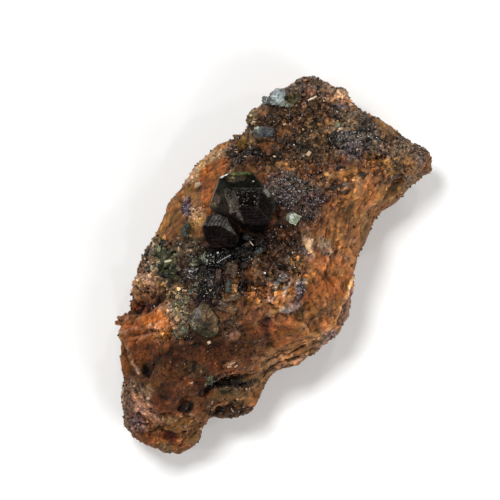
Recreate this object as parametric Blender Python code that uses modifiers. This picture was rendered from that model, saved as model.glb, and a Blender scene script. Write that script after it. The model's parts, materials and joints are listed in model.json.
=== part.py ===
"""Vesuvianite with clinochlore: a hand-sized skarn specimen lying on its flat back, crystals up.

The matrix is one rock. It is put together from convex blocks, one for each mass that the broken
stone shows, fused, chipped and trimmed to the plan outline, and its crusted side carries small
fused grains. Each crystal is a block cut by its own face planes and sits in a socket that the same
planes, moved out by the seat gap, cut from the matrix. Heights are above the flat back, +Y runs up
the long side.
"""

import random
from functools import partial
from math import cos, radians, sin

import bmesh
import bpy
from mathutils import Matrix, Vector, noise
from mathutils.bvhtree import BVHTree
from mathutils.geometry import intersect_point_line

MM = 0.001  # every size below is in millimetres

# ---- driving dimensions -------------------------------------------------------------------
RIM_SHARE = 0.42  # a block's side falls to this share of its height ...
BASE_DRAW_IN = 0.74  # ... and then draws in to this share of its outline, on the flat back
REMESH_STEP = 0.7  # grid that fuses the blocks
MEND_STEP = 0.5  # grid that closes the weathered surface again
SWELL = (0.16, 0.7)  # slow swells of the whole rock: waves per mm, height
FRACTURE = (0.45, 0.3)  # the same for the roughness of the broken faces
CRUST = (0.7, 0.75)  # ... and of the crusted side
CRUST_CELL = 1.8  # width of the crust's lumps
CRUST_LEVEL = 0.35  # height that the lumps add on average, taken off again
CRUST_FLOOR = 9  # the crust lies above this height
CHIP_SIZE = 4.2  # width of the flat chips on the broken faces
CHIP_TILT = 0.6  # slope of a chip against the face it lies on
PIT_FLOOR = 5  # pits only show above this height
OUTLINE_WAVE = 0.22  # how far the rim wanders in from the outline
MATRIX_TRIANGLES = 5300  # before the grains and sockets are added
BACK_TRIM = 0.6  # what the flat back takes off the lowest bumps
SEAT_GAP = 0.3  # clearance between a crystal and its socket
GRAIN_SIZE = (0.7, 1.45)  # half width of the grains on the crust
GRAIN_COUNT = 62
GRAIN_SEED = 11
GRAIN_SPACING = 1.02  # clear distance between grains, in grain half widths
GRAIN_TOP = 0.55  # a grain's height over the rock, its root and its lean, all as shares
GRAIN_ROOT = 1.2
GRAIN_LEAN = 0.5
SEED_SIZE = 0.2  # see add_seed

# Plan outline (x, y) of the rock.
OUTLINE = [
    (4.9, 28.7), (3.3, 28.1), (2.9, 27.7), (1.6, 26.5), (0.4, 25.9), (-1, 25), (-1.4, 24.1), (-3.1, 23.5),
    (-3.7, 22.4), (-3.7, 20.2), (-4.9, 19.3), (-6.1, 19.1), (-7.1, 18.7), (-8.5, 18.2), (-10.1, 16.4),
    (-11.6, 15.2), (-13.1, 13), (-14.2, 11.2), (-15.4, 9.7), (-16.6, 7.4), (-17.6, 5.2), (-18.4, 3.2),
    (-19.6, 1.4), (-20.5, -0.5), (-21.1, -2.3), (-20.9, -4.1), (-20.2, -5.3), (-20.8, -6.2),
    (-21.7, -7.6), (-23.2, -8.3), (-23.9, -9.1), (-23.6, -10.1), (-23, -11.3), (-22.9, -14.3),
    (-22.6, -17.3), (-23.3, -18.5), (-23.3, -19.7), (-22.7, -21.1), (-22.3, -24.1), (-20.9, -25.6),
    (-19.6, -26.6), (-18.4, -27.8), (-16.4, -28.7), (-14.6, -28.6), (-13.1, -27.7), (-11.5, -27.1),
    (-10.9, -25.9), (-10.1, -24.1), (-9.7, -23.3), (-8.2, -23.2), (-6.4, -23.5), (-4.9, -23),
    (-3.4, -22.6), (-2.2, -21.1), (-1, -18.1), (-0.4, -16.6), (1.1, -15.8), (3.4, -15.4), (6.4, -14.3),
    (8.6, -12.8), (10.1, -11.3), (10.9, -10.1), (11.6, -8.6), (11.8, -7), (12.1, -5.3), (12.2, -3.1),
    (12.4, -0.8), (12.8, 1.4), (13.6, 2.5), (14.2, 3.7), (14.9, 5.2), (15.4, 6.7), (15.5, 7.7),
    (17.3, 8.5), (18.7, 9.2), (19.4, 10.1), (20.9, 11.2), (22.1, 12.2), (23.3, 13.4), (23.9, 14.6),
    (23.9, 16.4), (22.9, 17.5), (21.4, 18.4), (19.9, 19.4), (18.4, 20.6), (16.4, 22), (14, 22.9),
    (13.1, 23.6), (11.6, 25), (10.9, 25.9), (9.4, 27.2), (7.9, 27.8), (6.4, 28.4),
]

# Corner points (x, y, height) of each block's upper surface.
BLOCKS = {
    "wing": [
        (4.1, 27.7, 12.5), (10.9, 25.7, 13), (16.7, 21.7, 13), (23.8, 16.4, 11.5), (23.8, 14.5, 10.5),
        (18.5, 13.9, 17.5), (18.8, 9.5, 9), (15.1, 7.6, 12), (14.3, 11.9, 20.5), (8.6, 8.6, 23),
        (4.1, 7, 24), (-1.6, 14.9, 19.5), (-0.4, 22.9, 15.5),
    ],
    "crown": [
        (-3.5, 22.6, 11.5), (-3.4, 20.5, 12), (-1.6, 23.9, 12.5), (2, 26.3, 12.5), (4.9, 28.4, 11),
        (8.5, 27.4, 12.5), (4.4, 17.2, 18.5), (-1.6, 15.4, 19.5), (-4, 18.4, 15.5),
    ],
    "shoulder": [
        (-7, 18.7, 11), (-9.8, 16.7, 9.5), (-13.3, 12.8, 8.5), (-15.8, 9.2, 8.5), (-17.9, 4.6, 9),
        (-15.1, 2.2, 17), (-10.6, 3.7, 21), (-7.6, 11.2, 21), (-4.6, 15.7, 19.5),
    ],
    "core": [
        (-4.6, 16.9, 19), (4.1, 10.9, 23.5), (7.1, 7.9, 23.5), (4.7, 2.9, 24.5), (4.4, -3.2, 23.5),
        (2, -7, 22.5), (-1.6, -8.3, 22), (-8.6, -6.1, 23), (-12.7, -4.1, 21), (-14.8, 0.4, 19.5),
        (-10.9, 7.9, 21.5),
    ],
    "bulge": [
        (4.7, 2.9, 24.5), (8.8, 7.9, 21.5), (13.4, 7.4, 16), (14.8, 5.9, 12.5), (12.9, 1.6, 13),
        (10.7, 1.4, 18.5), (12.2, -2.9, 13.5), (11.6, -7.7, 12.5), (8.5, -12.1, 12.5),
        (4.1, -14.3, 12.5), (-1, -16.1, 13), (-1.6, -8.6, 21.5), (2.3, -7.1, 22.5), (4.4, -3.2, 23.6),
        (7.4, -6.4, 20),
    ],
    "bank": [
        (-20.9, -1.3, 10.5), (-19.6, 1.4, 9.5), (-18.2, 3.5, 9.5), (-14.5, 3.1, 19), (-12.7, -3.1, 21),
        (-15.7, -2.9, 19),
    ],
    "neck": [
        (-20.8, -4.6, 9), (-21.4, -7.2, 9), (-22.2, -9.4, 9), (-17.5, -9.5, 12), (-15.5, -4.5, 13),
        (-18, -3.5, 12),
    ],
    "knob": [
        (-20.9, -2.8, 14.5), (-20.2, -1.7, 15.5), (-16.4, -1.4, 20.5), (-14, -3.4, 22),
        (-15.1, -5.3, 20), (-18.4, -6.2, 15.5), (-20.5, -5.3, 12.5),
    ],
    "wedge": [
        (-23.6, -10.1, 11.5), (-22.7, -8.9, 12), (-16, -5.8, 21.5), (-14.2, -7.7, 24),
        (-14.8, -12.1, 24), (-16.4, -13.7, 22.5), (-22.6, -14.9, 14),
    ],
    "lower": [
        (-14.5, -10.6, 24), (-8.5, -10.6, 22.5), (-1.6, -9.5, 20.5), (-1.9, -15.2, 16.5), (-4, -17, 15),
        (-10.1, -17.9, 19), (-18.4, -18.7, 20.5), (-22.6, -18.1, 13), (-22.6, -13.1, 13),
        (-13.7, -5.3, 22.5), (-7.3, -5.6, 22.5),
    ],
    "ledge": [
        (-10.3, -19.1, 16), (-4, -16.5, 14.5), (0, -15.6, 12), (-0.4, -18.4, 10.5), (-1.4, -21.6, 9.5),
        (-3.1, -23, 8.5), (-7, -23.9, 7.5), (-9.7, -23.4, 10),
    ],
    "keel": [
        (-21, -19, 8), (-21.5, -9.5, 9), (-18, 1, 9), (-13.5, 9.5, 8.5), (-7, 17.5, 8.5), (1, 25, 8),
        (9.5, 25, 8), (19.5, 17.5, 8), (20.5, 13.5, 7.5), (14.5, 6.5, 8), (9.8, -9, 8.5),
        (-0.5, -17, 9), (-9, -23, 8), (-14, -26.5, 7.5), (-18.5, -25.5, 8),
    ],
    "foot": [
        (-22.7, -16.1, 13), (-23.2, -19.1, 11), (-22.6, -22.1, 11.5), (-18.4, -18.8, 21.5),
        (-12.1, -18.5, 21), (-9.7, -20.9, 16.5), (-10.3, -23.6, 12), (-11.5, -26.9, 9.5),
        (-14.5, -28.4, 7.5), (-16.9, -28.6, 7.5), (-19.6, -26.5, 9), (-21.2, -25.1, 9),
        (-15.4, -23.9, 17.5),
    ],
}

# Broken faces that undercut the sides: (azimuth, distance from the origin, height there, slope).
UNDERCUTS = [
    (145, 18.6, 11, 17), (163, 19.9, 8.5, 26), (186, 24.8, 7, 27), (232, 33.9, 6.5, 31),
    (300, 18.5, 7, 24), (325, 15.8, 9.5, 31), (345, 19.3, 8, 22), (18, 28.1, 8, 36), (55, 27.9, 9, 14),
    (103, 27.8, 8, 28),
]

# Outline (x, y) of the crusted side: the plateau, the band below the big crystals and the green bank.
CRUST_OUTLINE = [
    (-7, 18.6), (-3.6, 22.4), (-1.6, 24.1), (4.9, 29), (11, 26.4), (17, 22), (24, 16.4), (18.4, 13.9),
    (14.3, 12), (8.6, 8.6), (5.9, 5.2), (4.7, 2.9), (5.3, 0.4), (4.4, -3.8), (2.6, -7.1), (-1.6, -8),
    (-7.1, -6.8), (-7.6, -10.6), (-14.5, -11.3), (-15.4, -6.1), (-13.9, -3.8), (-16.1, -1.6),
    (-20.9, -1.6), (-19.6, 1.9), (-18.1, 4), (-14.2, 4.3), (-11.5, 6.4), (-9.7, 9.7), (-7.6, 13.9),
]

# Small hollows (x, y, radius, depth) in the rock.
PITS = [
    (-12.9, -21.5, 1.3, 1.4), (-4.6, -3.5, 1.0, 1.2), (3.4, 17.9, 1.2, 1.0), (9.0, 18.6, 1.0, 0.8),
    (-19.3, -15.6, 1.0, 0.7), (-15.6, -25.8, 0.9, 0.7), (-14.3, 17.0, 1.2, 0.5), (-7.0, -17.9, 1.4, 1.0),
]

# A crystal's faces are (azimuth, tilt from the axis, distance from the centre). The axis itself
# is a face with tilt 0. "lean" turns the axis from +Z by an angle about x, then about y.
PRISM = 90
CRYSTALS = {
    "vesuvianite_large": {
        "centre": (-4.4, 8.9, 24.6),
        "lean": (0, 0),
        "depth": 5.2,
        "faces": [
            (265, 5, 5.0), (90, 42, 5.25), (349, 40, 5.24), (270, 44, 3.89), (208, 30, 4.6), (165, 52, 5.4),
            (202, 52, 4.25), (270, 68, 3.61), (247, 75, 3.05), (92, PRISM, 4.9), (112, PRISM, 5.15),
            (161, PRISM, 4.7), (221, PRISM, 4.0), (270, PRISM, 4.8), (332, PRISM, 4.75), (342, PRISM, 4.6),
            (16, PRISM, 4.6), (31, PRISM, 4.4), (40, PRISM, 4.15),
        ],
    },
    "vesuvianite_small": {
        "centre": (-7.7, 5.1, 24.6),
        "lean": (0, 0),
        "depth": 4.0,
        "faces": [
            (95, 35, 2.7), (265, 40, 1.7), (15, 30, 2.56), (25, 58, 2.48), (157, PRISM, 2.75),
            (200, PRISM, 2.64), (219, PRISM, 2.67), (270, PRISM, 2.5), (336, PRISM, 3.0), (0, PRISM, 2.8),
            (42, PRISM, 2.55), (90, PRISM, 2.4),
        ],
    },
    "vesuvianite_coated": {
        "centre": (-10.2, -8.4, 22.6),
        "lean": (0, 0),
        "depth": 4.0,
        "faces": [
            (175, 32, 2.31), (8, 34, 2.05), (268, 44, 2.36), (92, 35, 2.47), (142, PRISM, 2.05),
            (47, PRISM, 2.14), (34, PRISM, 1.97), (352, PRISM, 2.26), (300, PRISM, 2.65), (252, PRISM, 2.24),
            (209, PRISM, 2.14),
        ],
    },
    "vesuvianite_upper": {
        "centre": (-1.1, 19.6, 17.4),
        "lean": (0, 0),
        "depth": 3.0,
        "faces": [
            (100, 10, 1.5), (270, 50, 1.45), (90, 60, 1.44), (0, 55, 1.84), (180, 50, 1.9),
            (0, PRISM, 1.55), (180, PRISM, 1.6), (90, PRISM, 1.0), (270, PRISM, 1.3), (40, PRISM, 1.5),
            (215, PRISM, 1.65),
        ],
    },
    "clinochlore_top": {
        "centre": (0.5, 25.1, 13.6),
        "lean": (-28, -14),
        "depth": 2.2,
        "faces": [
            (0, 0, 0.75), (50, 50, 1.5), (140, 55, 1.2), (255, 55, 1.35), (105, PRISM, 1.3), (27, PRISM, 1.65),
            (346, PRISM, 1.6), (299, PRISM, 1.5), (246, PRISM, 1.4), (180, PRISM, 0.95),
        ],
    },
    "clinochlore_top_leaf": {
        "centre": (-0.8, 24.7, 13.3),
        "lean": (-20, -30),
        "depth": 1.6,
        "faces": [
            (0, 0, 0.5), (200, 50, 0.75), (130, PRISM, 0.75), (215, PRISM, 0.8), (80, PRISM, 0.7),
            (280, PRISM, 0.65), (0, PRISM, 0.95),
        ],
    },
    "clinochlore_top_flake": {
        "centre": (2.2, 24.2, 13.9),
        "lean": (-22, 6),
        "depth": 1.8,
        "faces": [
            (0, 0, 0.45), (270, 50, 0.65), (0, PRISM, 1.25), (180, PRISM, 1.3), (92, PRISM, 0.6),
            (272, PRISM, 0.6), (38, PRISM, 1.05),
        ],
    },
    "clinochlore_middle": {
        "centre": (3.1, 6.9, 25.0),
        "lean": (8, 10),
        "depth": 1.8,
        "faces": [
            (0, 0, 0.75), (120, 52, 0.95), (350, 55, 1.0), (60, PRISM, 0.95), (130, PRISM, 0.85),
            (185, PRISM, 0.9), (250, PRISM, 0.95), (320, PRISM, 0.95),
        ],
    },
}
# node: (finish, crystals). Crystals that grew into each other are one solid.
NODES = {
    "vesuvianite_pair": ("black_vesuvianite", ["vesuvianite_large", "vesuvianite_small"]),
    "vesuvianite_coated": ("coated_vesuvianite", ["vesuvianite_coated"]),
    "vesuvianite_upper": ("grey_vesuvianite", ["vesuvianite_upper"]),
    "clinochlore_top": (
        "pale_clinochlore", ["clinochlore_top", "clinochlore_top_leaf", "clinochlore_top_flake"],
    ),
    "clinochlore_middle": ("pale_clinochlore", ["clinochlore_middle"]),
}

# The green bank: leafy clinochlore crystals (x, y, half width, turn) that overlap in one crust.
BANK_LEAVES = [
    (-17.3, 1.6, 1.15, 20), (-16.2, 0.5, 1.2, 75), (-15.0, 1.3, 1.1, 130), (-16.6, -0.5, 1.05, 170),
    (-15.1, -0.4, 1.15, 45), (-13.8, 0.2, 1.1, 95), (-14.0, -1.3, 1.0, 10), (-18.2, 0.6, 1.0, 110),
]
LEAF_LIFT = 0.25  # a leaf's centre above the rock
LEAF_UPRIGHT = 0.45  # how far a leaf turns from the rock's face towards +Z
LEAF_THICKNESS = 0.42  # these are shares of its half width
LEAF_ROOT = 1.3
LEAF_SIDES = (0.86, 1, 0.93)
LEAF_BEVEL = (38, 0.78)  # tilt and distance of the faces round its top

# Blades that stand out of the left edge: (x, y, height, half length, half width, turn).
EDGE_BLADES = [(-21.0, -6.9, 10.0, 1.25, 0.4, 62), (-22.9, -8.5, 10.4, 1.1, 0.35, 28)]
# Stubby crystals fused to the crust: x, y, rise, half length, half width, turn and slope of the top.
STUBBY_CRYSTALS = [
    (-6.2, -0.9, 1.0, 1.3, 1.1, 80, 14), (-6.2, -3.1, 1.1, 1.2, 1.05, 84, -8),
    (-6.2, -4.7, 0.7, 1.3, 0.8, 8, 12), (-8.2, -2.3, 0.9, 2.1, 0.55, 88, 6),
    (-9.2, -2.2, 0.7, 1.7, 0.5, 93, -5), (-10.3, -1.1, 0.7, 1.5, 0.55, 85, 7),
    (-7.8, -5.7, 0.6, 1.2, 0.5, -18, 16), (-6.4, -6.3, 0.5, 1.2, 0.6, -30, 12),
    (-13.7, -9.9, 0.9, 1.0, 0.95, 20, 16), (-13.0, -5.4, 0.6, 0.9, 0.7, 50, -12),
    (-11.9, -4.0, 0.7, 0.7, 0.55, 15, 10), (3.3, 25.0, 0.8, 0.85, 0.8, 30, 10),
    (9.4, 11.4, 0.6, 0.9, 0.6, 25, -12), (-2.2, 1.9, 0.6, 0.95, 0.5, 40, 15),
]
STUBBY_ROOT = 2.4
STUBBY_BEVELS = [(90, 45, 0.86), (262, 45, 0.82), (8, 45, 1.0)]  # azimuth, tilt and reach of their bevels

# name: (colour, roughness, coat)
FINISHES = {
    "rusty_matrix": ((0.23, 0.085, 0.028), 0.75, 0.0),
    "black_vesuvianite": ((0.012, 0.010, 0.008), 0.16, 0.5),
    "coated_vesuvianite": ((0.115, 0.095, 0.055), 0.55, 0.0),
    "grey_vesuvianite": ((0.085, 0.090, 0.085), 0.35, 0.2),
    "green_clinochlore": ((0.12, 0.15, 0.055), 0.40, 0.2),
    "pale_clinochlore": ((0.42, 0.47, 0.42), 0.22, 0.3),
}


# ---- scene helpers --------------------------------------------------------------------------
def clear_scene():
    for item in list(bpy.data.objects):
        bpy.data.objects.remove(item)


def new_collection(name):
    collection = bpy.data.collections.new(name)
    bpy.context.scene.collection.children.link(collection)
    return collection


def finish(name):
    colour, roughness, coat = FINISHES[name]
    material = bpy.data.materials.get(name)
    if material is None:
        material = bpy.data.materials.new(name)
        material.use_nodes = True
        shader = material.node_tree.nodes["Principled BSDF"]
        shader.inputs["Base Color"].default_value = (*colour, 1)
        shader.inputs["Roughness"].default_value = roughness
        shader.inputs["Coat Weight"].default_value = coat
        material.diffuse_color = (*colour, 1)
    return material


def add_object(name, bm, collection, finish_name=None):
    """Turns a bmesh in millimetres into an object in metres."""
    bmesh.ops.scale(bm, vec=(MM, MM, MM), verts=bm.verts)
    mesh = bpy.data.meshes.new(name)
    bm.to_mesh(mesh)
    bm.free()
    item = bpy.data.objects.new(name, mesh)
    collection.objects.link(item)
    if finish_name:
        mesh.materials.append(finish(finish_name))
    return item


def add_cutter(name, bm, collection):
    item = add_object(name, bm, collection)
    item.hide_render = True
    item.display_type = "WIRE"
    return item


def evaluated_mesh(item):
    graph = bpy.context.evaluated_depsgraph_get()
    return bpy.data.meshes.new_from_object(item.evaluated_get(graph))


def add_boolean(item, operation, other, self_crossing=False):
    modifier = item.modifiers.new(operation.lower(), "BOOLEAN")
    modifier.operation = operation
    modifier.object = other
    modifier.use_self = self_crossing


# ---- the rock ---------------------------------------------------------------------------------
def inside(outline, x, y):
    """True if the point lies in the outline, by crossing count."""
    found = False
    for (ax, ay), (bx, by) in zip(outline, outline[1:] + outline[:1]):
        if (ay > y) != (by > y) and x < ax + (bx - ax) * (y - ay) / (by - ay):
            found = not found
    return found


def block_hull(bm, corners):
    """A convex mass: its upper corners, a rim below them, and an outline drawn in on the back."""
    middle = sum((Vector(corner) for corner in corners), Vector()) / len(corners)
    points = []
    for x, y, height in corners:
        base = middle.lerp(Vector((x, y, 0)), BASE_DRAW_IN)
        points += [(x, y, height), (x, y, height * RIM_SHARE), (base.x, base.y, -BACK_TRIM)]
    verts = [bm.verts.new(point) for point in points]
    hull = bmesh.ops.convex_hull(bm, input=verts)
    inner = [piece for piece in hull["geom_interior"] if isinstance(piece, bmesh.types.BMVert)]
    bmesh.ops.delete(bm, geom=inner, context="VERTS")


def chip(point):
    """Flat chips: each cell of the rock is a little plane of its own tilt."""
    centre = noise.voronoi(point / CHIP_SIZE)[1][0]
    tilt = noise.cell_vector(centre * 7.3) - Vector((0.5, 0.5, 0.5))
    return (point - centre * CHIP_SIZE).dot(tilt)


def rough(point, waves, height):
    return height * noise.fractal(point * waves, 0.9, 2.0, 3)


def relief(point):
    """How far weathering moves the surface at a point, in millimetres."""
    x, y, height = point
    move = rough(point, *SWELL)
    if height > CRUST_FLOOR and inside(CRUST_OUTLINE, x, y):
        near, second = noise.voronoi(point / CRUST_CELL)[0][:2]
        move += rough(point, *CRUST) + CRUST[1] * (second - near - CRUST_LEVEL)
    else:
        move += rough(point, *FRACTURE) + CHIP_TILT * chip(point)
    for px, py, radius, depth in PITS:
        if height > PIT_FLOOR:
            move -= depth * max(0.0, 1 - ((x - px) ** 2 + (y - py) ** 2) / radius**2)
    return move


def undercut(point):
    """Moves a point that stands out past one of the broken side faces back onto it."""
    for azimuth, distance, height, slope in UNDERCUTS:
        side = Vector((cos(radians(azimuth)), sin(radians(azimuth)), 0))
        normal = side * cos(radians(slope)) - Vector((0, 0, sin(radians(slope))))
        excess = (point - side * distance - Vector((0, 0, height))).dot(normal)
        point = point - normal * max(0.0, excess)
    return point


def drawn_in(point):
    """Moves a point that lies outside the plan outline back to it, or a little further in."""
    x, y, height = point
    if inside(OUTLINE, x, y):
        return point
    flat = Vector((x, y, 0))
    best = None
    for (ax, ay), (bx, by) in zip(OUTLINE, OUTLINE[1:] + OUTLINE[:1]):
        start, end = Vector((ax, ay, 0)), Vector((bx, by, 0))
        share = intersect_point_line(flat, start, end)[1]
        foot = start.lerp(end, min(1.0, max(0.0, share)))
        if best is None or (flat - foot).length < (flat - best).length:
            best = foot
    inward = (best - flat).normalized() * OUTLINE_WAVE * (0.5 + 0.5 * noise.noise(point * 0.6))
    return Vector((best.x + inward.x, best.y + inward.y, height))


def weather(mesh):
    """Undercuts the sides, then chips and swells the surface, then trims it to the outline."""
    for vert in mesh.vertices:
        vert.co = undercut(vert.co / MM) * MM
    mesh.update()
    moved = []
    for vert in mesh.vertices:
        point = vert.co / MM
        moved.append(drawn_in(point + vert.normal * relief(point)) * MM)
    for vert, place in zip(mesh.vertices, moved):
        vert.co = place


def trim_back(mesh):
    """Cuts the rock off flat at height 0, where it lies, and closes the cut."""
    bm = bmesh.new()
    bm.from_mesh(mesh)
    everything = bm.verts[:] + bm.edges[:] + bm.faces[:]
    cut = bmesh.ops.bisect_plane(
        bm, geom=everything, plane_co=(0, 0, 0), plane_no=(0, 0, 1), clear_inner=True
    )
    rim = [piece for piece in cut["geom_cut"] if isinstance(piece, bmesh.types.BMEdge)]
    bmesh.ops.holes_fill(bm, edges=rim)
    bmesh.ops.triangulate(bm, faces=bm.faces[:])
    bmesh.ops.recalc_face_normals(bm, faces=bm.faces[:])
    bm.to_mesh(mesh)
    bm.free()


def make_rock(collection):
    bm = bmesh.new()
    for corners in BLOCKS.values():
        block_hull(bm, corners)
    bmesh.ops.recalc_face_normals(bm, faces=bm.faces[:])
    blocks = add_object("blocks", bm, collection)
    fuse = blocks.modifiers.new("fuse", "REMESH")
    fuse.mode = "VOXEL"
    fuse.voxel_size = REMESH_STEP * MM
    soften = blocks.modifiers.new("soften", "SMOOTH")
    soften.iterations = 1
    mesh = evaluated_mesh(blocks)
    weather(mesh)
    blocks.modifiers.clear()
    blocks.data = mesh
    mend = blocks.modifiers.new("mend", "REMESH")
    mend.mode = "VOXEL"
    mend.voxel_size = MEND_STEP * MM
    blocks.data = evaluated_mesh(blocks)
    blocks.modifiers.clear()
    thin = blocks.modifiers.new("thin", "DECIMATE")
    thin.ratio = MATRIX_TRIANGLES / (2 * len(blocks.data.polygons))
    mesh = evaluated_mesh(blocks)
    bpy.data.objects.remove(blocks)
    trim_back(mesh)
    matrix = bpy.data.objects.new("matrix", mesh)
    mesh.materials.clear()
    mesh.materials.append(finish("rusty_matrix"))
    collection.objects.link(matrix)
    return matrix


# ---- crystals ---------------------------------------------------------------------------------
def crystal_axes(lean, turn=0):
    around = Matrix.Rotation(radians(turn), 3, "Z")
    return around @ Matrix.Rotation(radians(lean[1]), 3, "Y") @ Matrix.Rotation(radians(lean[0]), 3, "X")


def cut_block(bm, centre, turn, faces, depth, grow=0.0):
    """Adds a block cut by its crystal faces, each moved out by grow, and flat at its root."""
    size = 4 * max(distance for _, _, distance in faces)
    start = bmesh.new()
    bmesh.ops.create_cube(start, size=size)
    normals = [
        (Vector((sin(radians(t)) * cos(radians(a)), sin(radians(t)) * sin(radians(a)), cos(radians(t)))), d)
        for a, t, d in faces
    ]
    normals.append((Vector((0, 0, -1)), depth))
    for normal, distance in normals:
        geom = start.verts[:] + start.edges[:] + start.faces[:]
        cut = bmesh.ops.bisect_plane(
            start, geom=geom, plane_co=normal * (distance + grow), plane_no=normal, clear_outer=True
        )
        rim = [piece for piece in cut["geom_cut"] if isinstance(piece, bmesh.types.BMEdge)]
        if rim:
            bmesh.ops.contextual_create(start, geom=rim)
    bmesh.ops.transform(start, matrix=Matrix.Translation(centre) @ turn.to_4x4(), verts=start.verts)
    bmesh.ops.recalc_face_normals(start, faces=start.faces[:])
    mesh = bpy.data.meshes.new("block")
    start.to_mesh(mesh)
    start.free()
    bm.from_mesh(mesh)
    bpy.data.meshes.remove(mesh)


def crystal_bmesh(names, grow=0.0):
    bm = bmesh.new()
    for name in names:
        spec = CRYSTALS[name]
        turn = crystal_axes(spec["lean"])
        cut_block(bm, Vector(spec["centre"]), turn, spec["faces"], spec["depth"], grow)
    return bm


def leaf_faces(half_width, turn):
    """A six-sided leaf with a bevelled upper edge."""
    thickness = half_width * LEAF_THICKNESS
    tilt, share = LEAF_BEVEL
    sides = [(turn + 60 * side, PRISM, half_width * LEAF_SIDES[side % 3]) for side in range(6)]
    bevels = [(turn + 60 * side, tilt, half_width * share) for side in (0, 2, 4)]
    return [(0, 0, thickness), *sides, *bevels]


def bank_bmesh(rock_at, grow=0.0):
    bm = bmesh.new()
    for x, y, half_width, turn in BANK_LEAVES:
        place, normal = rock_at(x, y)
        axis = normal.lerp(Vector((0, 0, 1)), LEAF_UPRIGHT)
        tilt = Vector((0, 0, 1)).rotation_difference(axis).to_matrix()
        centre = place + normal * LEAF_LIFT
        cut_block(bm, centre, tilt, leaf_faces(half_width, turn), LEAF_ROOT * half_width, grow)
    return bm


def add_seed(item, cutters):
    """Joins a group of crossing blocks: unites them with each other and with a tiny cube inside one."""
    seed = bmesh.new()
    bmesh.ops.create_cube(seed, size=SEED_SIZE)
    first = item.data.polygons[0]
    corners = [item.data.vertices[i].co for i in first.vertices]
    middle = sum(corners, Vector()) / len(corners) / MM
    bmesh.ops.translate(seed, vec=middle - first.normal * 2 * SEED_SIZE, verts=seed.verts)
    add_boolean(item, "UNION", add_cutter("seed_" + item.name, seed, cutters), self_crossing=True)


def add_crystal(name, shape, finish_name, matrix, parts, cutters, crossing):
    """Adds one crystal node, and cuts its socket in the matrix."""
    item = add_object(name, shape(0.0), parts, finish_name)
    socket = add_cutter("socket_" + name, shape(SEAT_GAP), cutters)
    if crossing:
        add_seed(item, cutters)
        add_seed(socket, cutters)
    add_boolean(matrix, "DIFFERENCE", socket)


# ---- grains fused to the crust -------------------------------------------------------------------
def grain_faces(random_source, half_width):
    """A broken, blocky grain: five or six uneven sides, and one or two faces on top."""
    count = random_source.choice((5, 5, 6))
    first = random_source.uniform(0, 360)
    faces = [(random_source.uniform(0, 360), random_source.uniform(4, 26), half_width * GRAIN_TOP)]
    for side in range(count):
        azimuth = first + 360 / count * (side + random_source.uniform(-0.28, 0.28))
        faces.append((azimuth, random_source.uniform(52, 92), half_width * random_source.uniform(0.72, 1.08)))
    return faces


def clear_of_crystals(x, y, half_width):
    for spec in CRYSTALS.values():
        reach = max(distance for _, _, distance in spec["faces"]) + half_width
        if (x - spec["centre"][0]) ** 2 + (y - spec["centre"][1]) ** 2 < reach**2:
            return False
    return all((x - lx) ** 2 + (y - ly) ** 2 > (r + half_width) ** 2 for lx, ly, r, _ in BANK_LEAVES)


def stubby_faces(rise, length, width):
    """A short prism lying on the crust: a flat top, bevelled along its sides, and two ends."""
    sides = [(0, PRISM, length), (180, PRISM, length), (90, PRISM, width), (270, PRISM, width)]
    bevels = [(side, tilt, share * (rise + width) / 1.414) for side, tilt, share in STUBBY_BEVELS]
    return [(0, 0, rise), *sides, *bevels]


def grains_bmesh(rock_at):
    """Grains scattered over the crust, the edge blades and the stubby crystals."""
    random_source = random.Random(GRAIN_SEED)
    bm = bmesh.new()
    placed = []
    xs = [x for x, _ in CRUST_OUTLINE]
    ys = [y for _, y in CRUST_OUTLINE]
    while len(placed) < GRAIN_COUNT:
        x = random_source.uniform(min(xs) + 1, max(xs) - 1)
        y = random_source.uniform(min(ys) + 1, max(ys) - 1)
        half_width = random_source.uniform(*GRAIN_SIZE)
        found = rock_at(x, y)
        if not found or not inside(CRUST_OUTLINE, x, y) or not clear_of_crystals(x, y, half_width):
            continue
        rim = [(x + half_width, y), (x - half_width, y), (x, y + half_width), (x, y - half_width)]
        if not all(inside(OUTLINE, *point) for point in rim):
            continue
        if any((x - a) ** 2 + (y - b) ** 2 < (GRAIN_SPACING * (half_width + r)) ** 2 for a, b, r in placed):
            continue
        placed.append((x, y, half_width))
        place, normal = found
        lean = Vector([random_source.uniform(-GRAIN_LEAN, GRAIN_LEAN) for _ in range(3)])
        tilt = Vector((0, 0, 1)).rotation_difference((normal + lean).normalized()).to_matrix()
        cut_block(bm, place, tilt, grain_faces(random_source, half_width), GRAIN_ROOT * half_width)
    for x, y, height, length, width, turn in EDGE_BLADES:
        sides = [(0, PRISM, length), (180, PRISM, length), (102, PRISM, width), (258, PRISM, width)]
        ends = [(0, 40, length * 0.8), (180, 62, length * 0.8)]
        around = Matrix.Rotation(radians(turn), 3, "Z")
        cut_block(bm, Vector((x, y, height)), around, [(0, 0, width), *sides, *ends], 1.5 * width)
    for x, y, rise, length, width, turn, slope in STUBBY_CRYSTALS:
        faces = stubby_faces(rise, length, width)
        cut_block(bm, rock_at(x, y)[0], crystal_axes((0, slope), turn), faces, STUBBY_ROOT)
    return bm


# ---- build ------------------------------------------------------------------------------------
def make_surface_probe(matrix):
    """Returns rock_at(x, y): the highest point of the bare rock there and its normal, or None."""
    bm = bmesh.new()
    bm.from_mesh(matrix.data)
    tree = BVHTree.FromBMesh(bm)
    bm.free()

    def rock_at(x, y):
        hit, normal, _, _ = tree.ray_cast(Vector((x * MM, y * MM, 0.1)), Vector((0, 0, -1)))
        return (hit / MM, normal) if hit else None

    return rock_at


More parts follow.
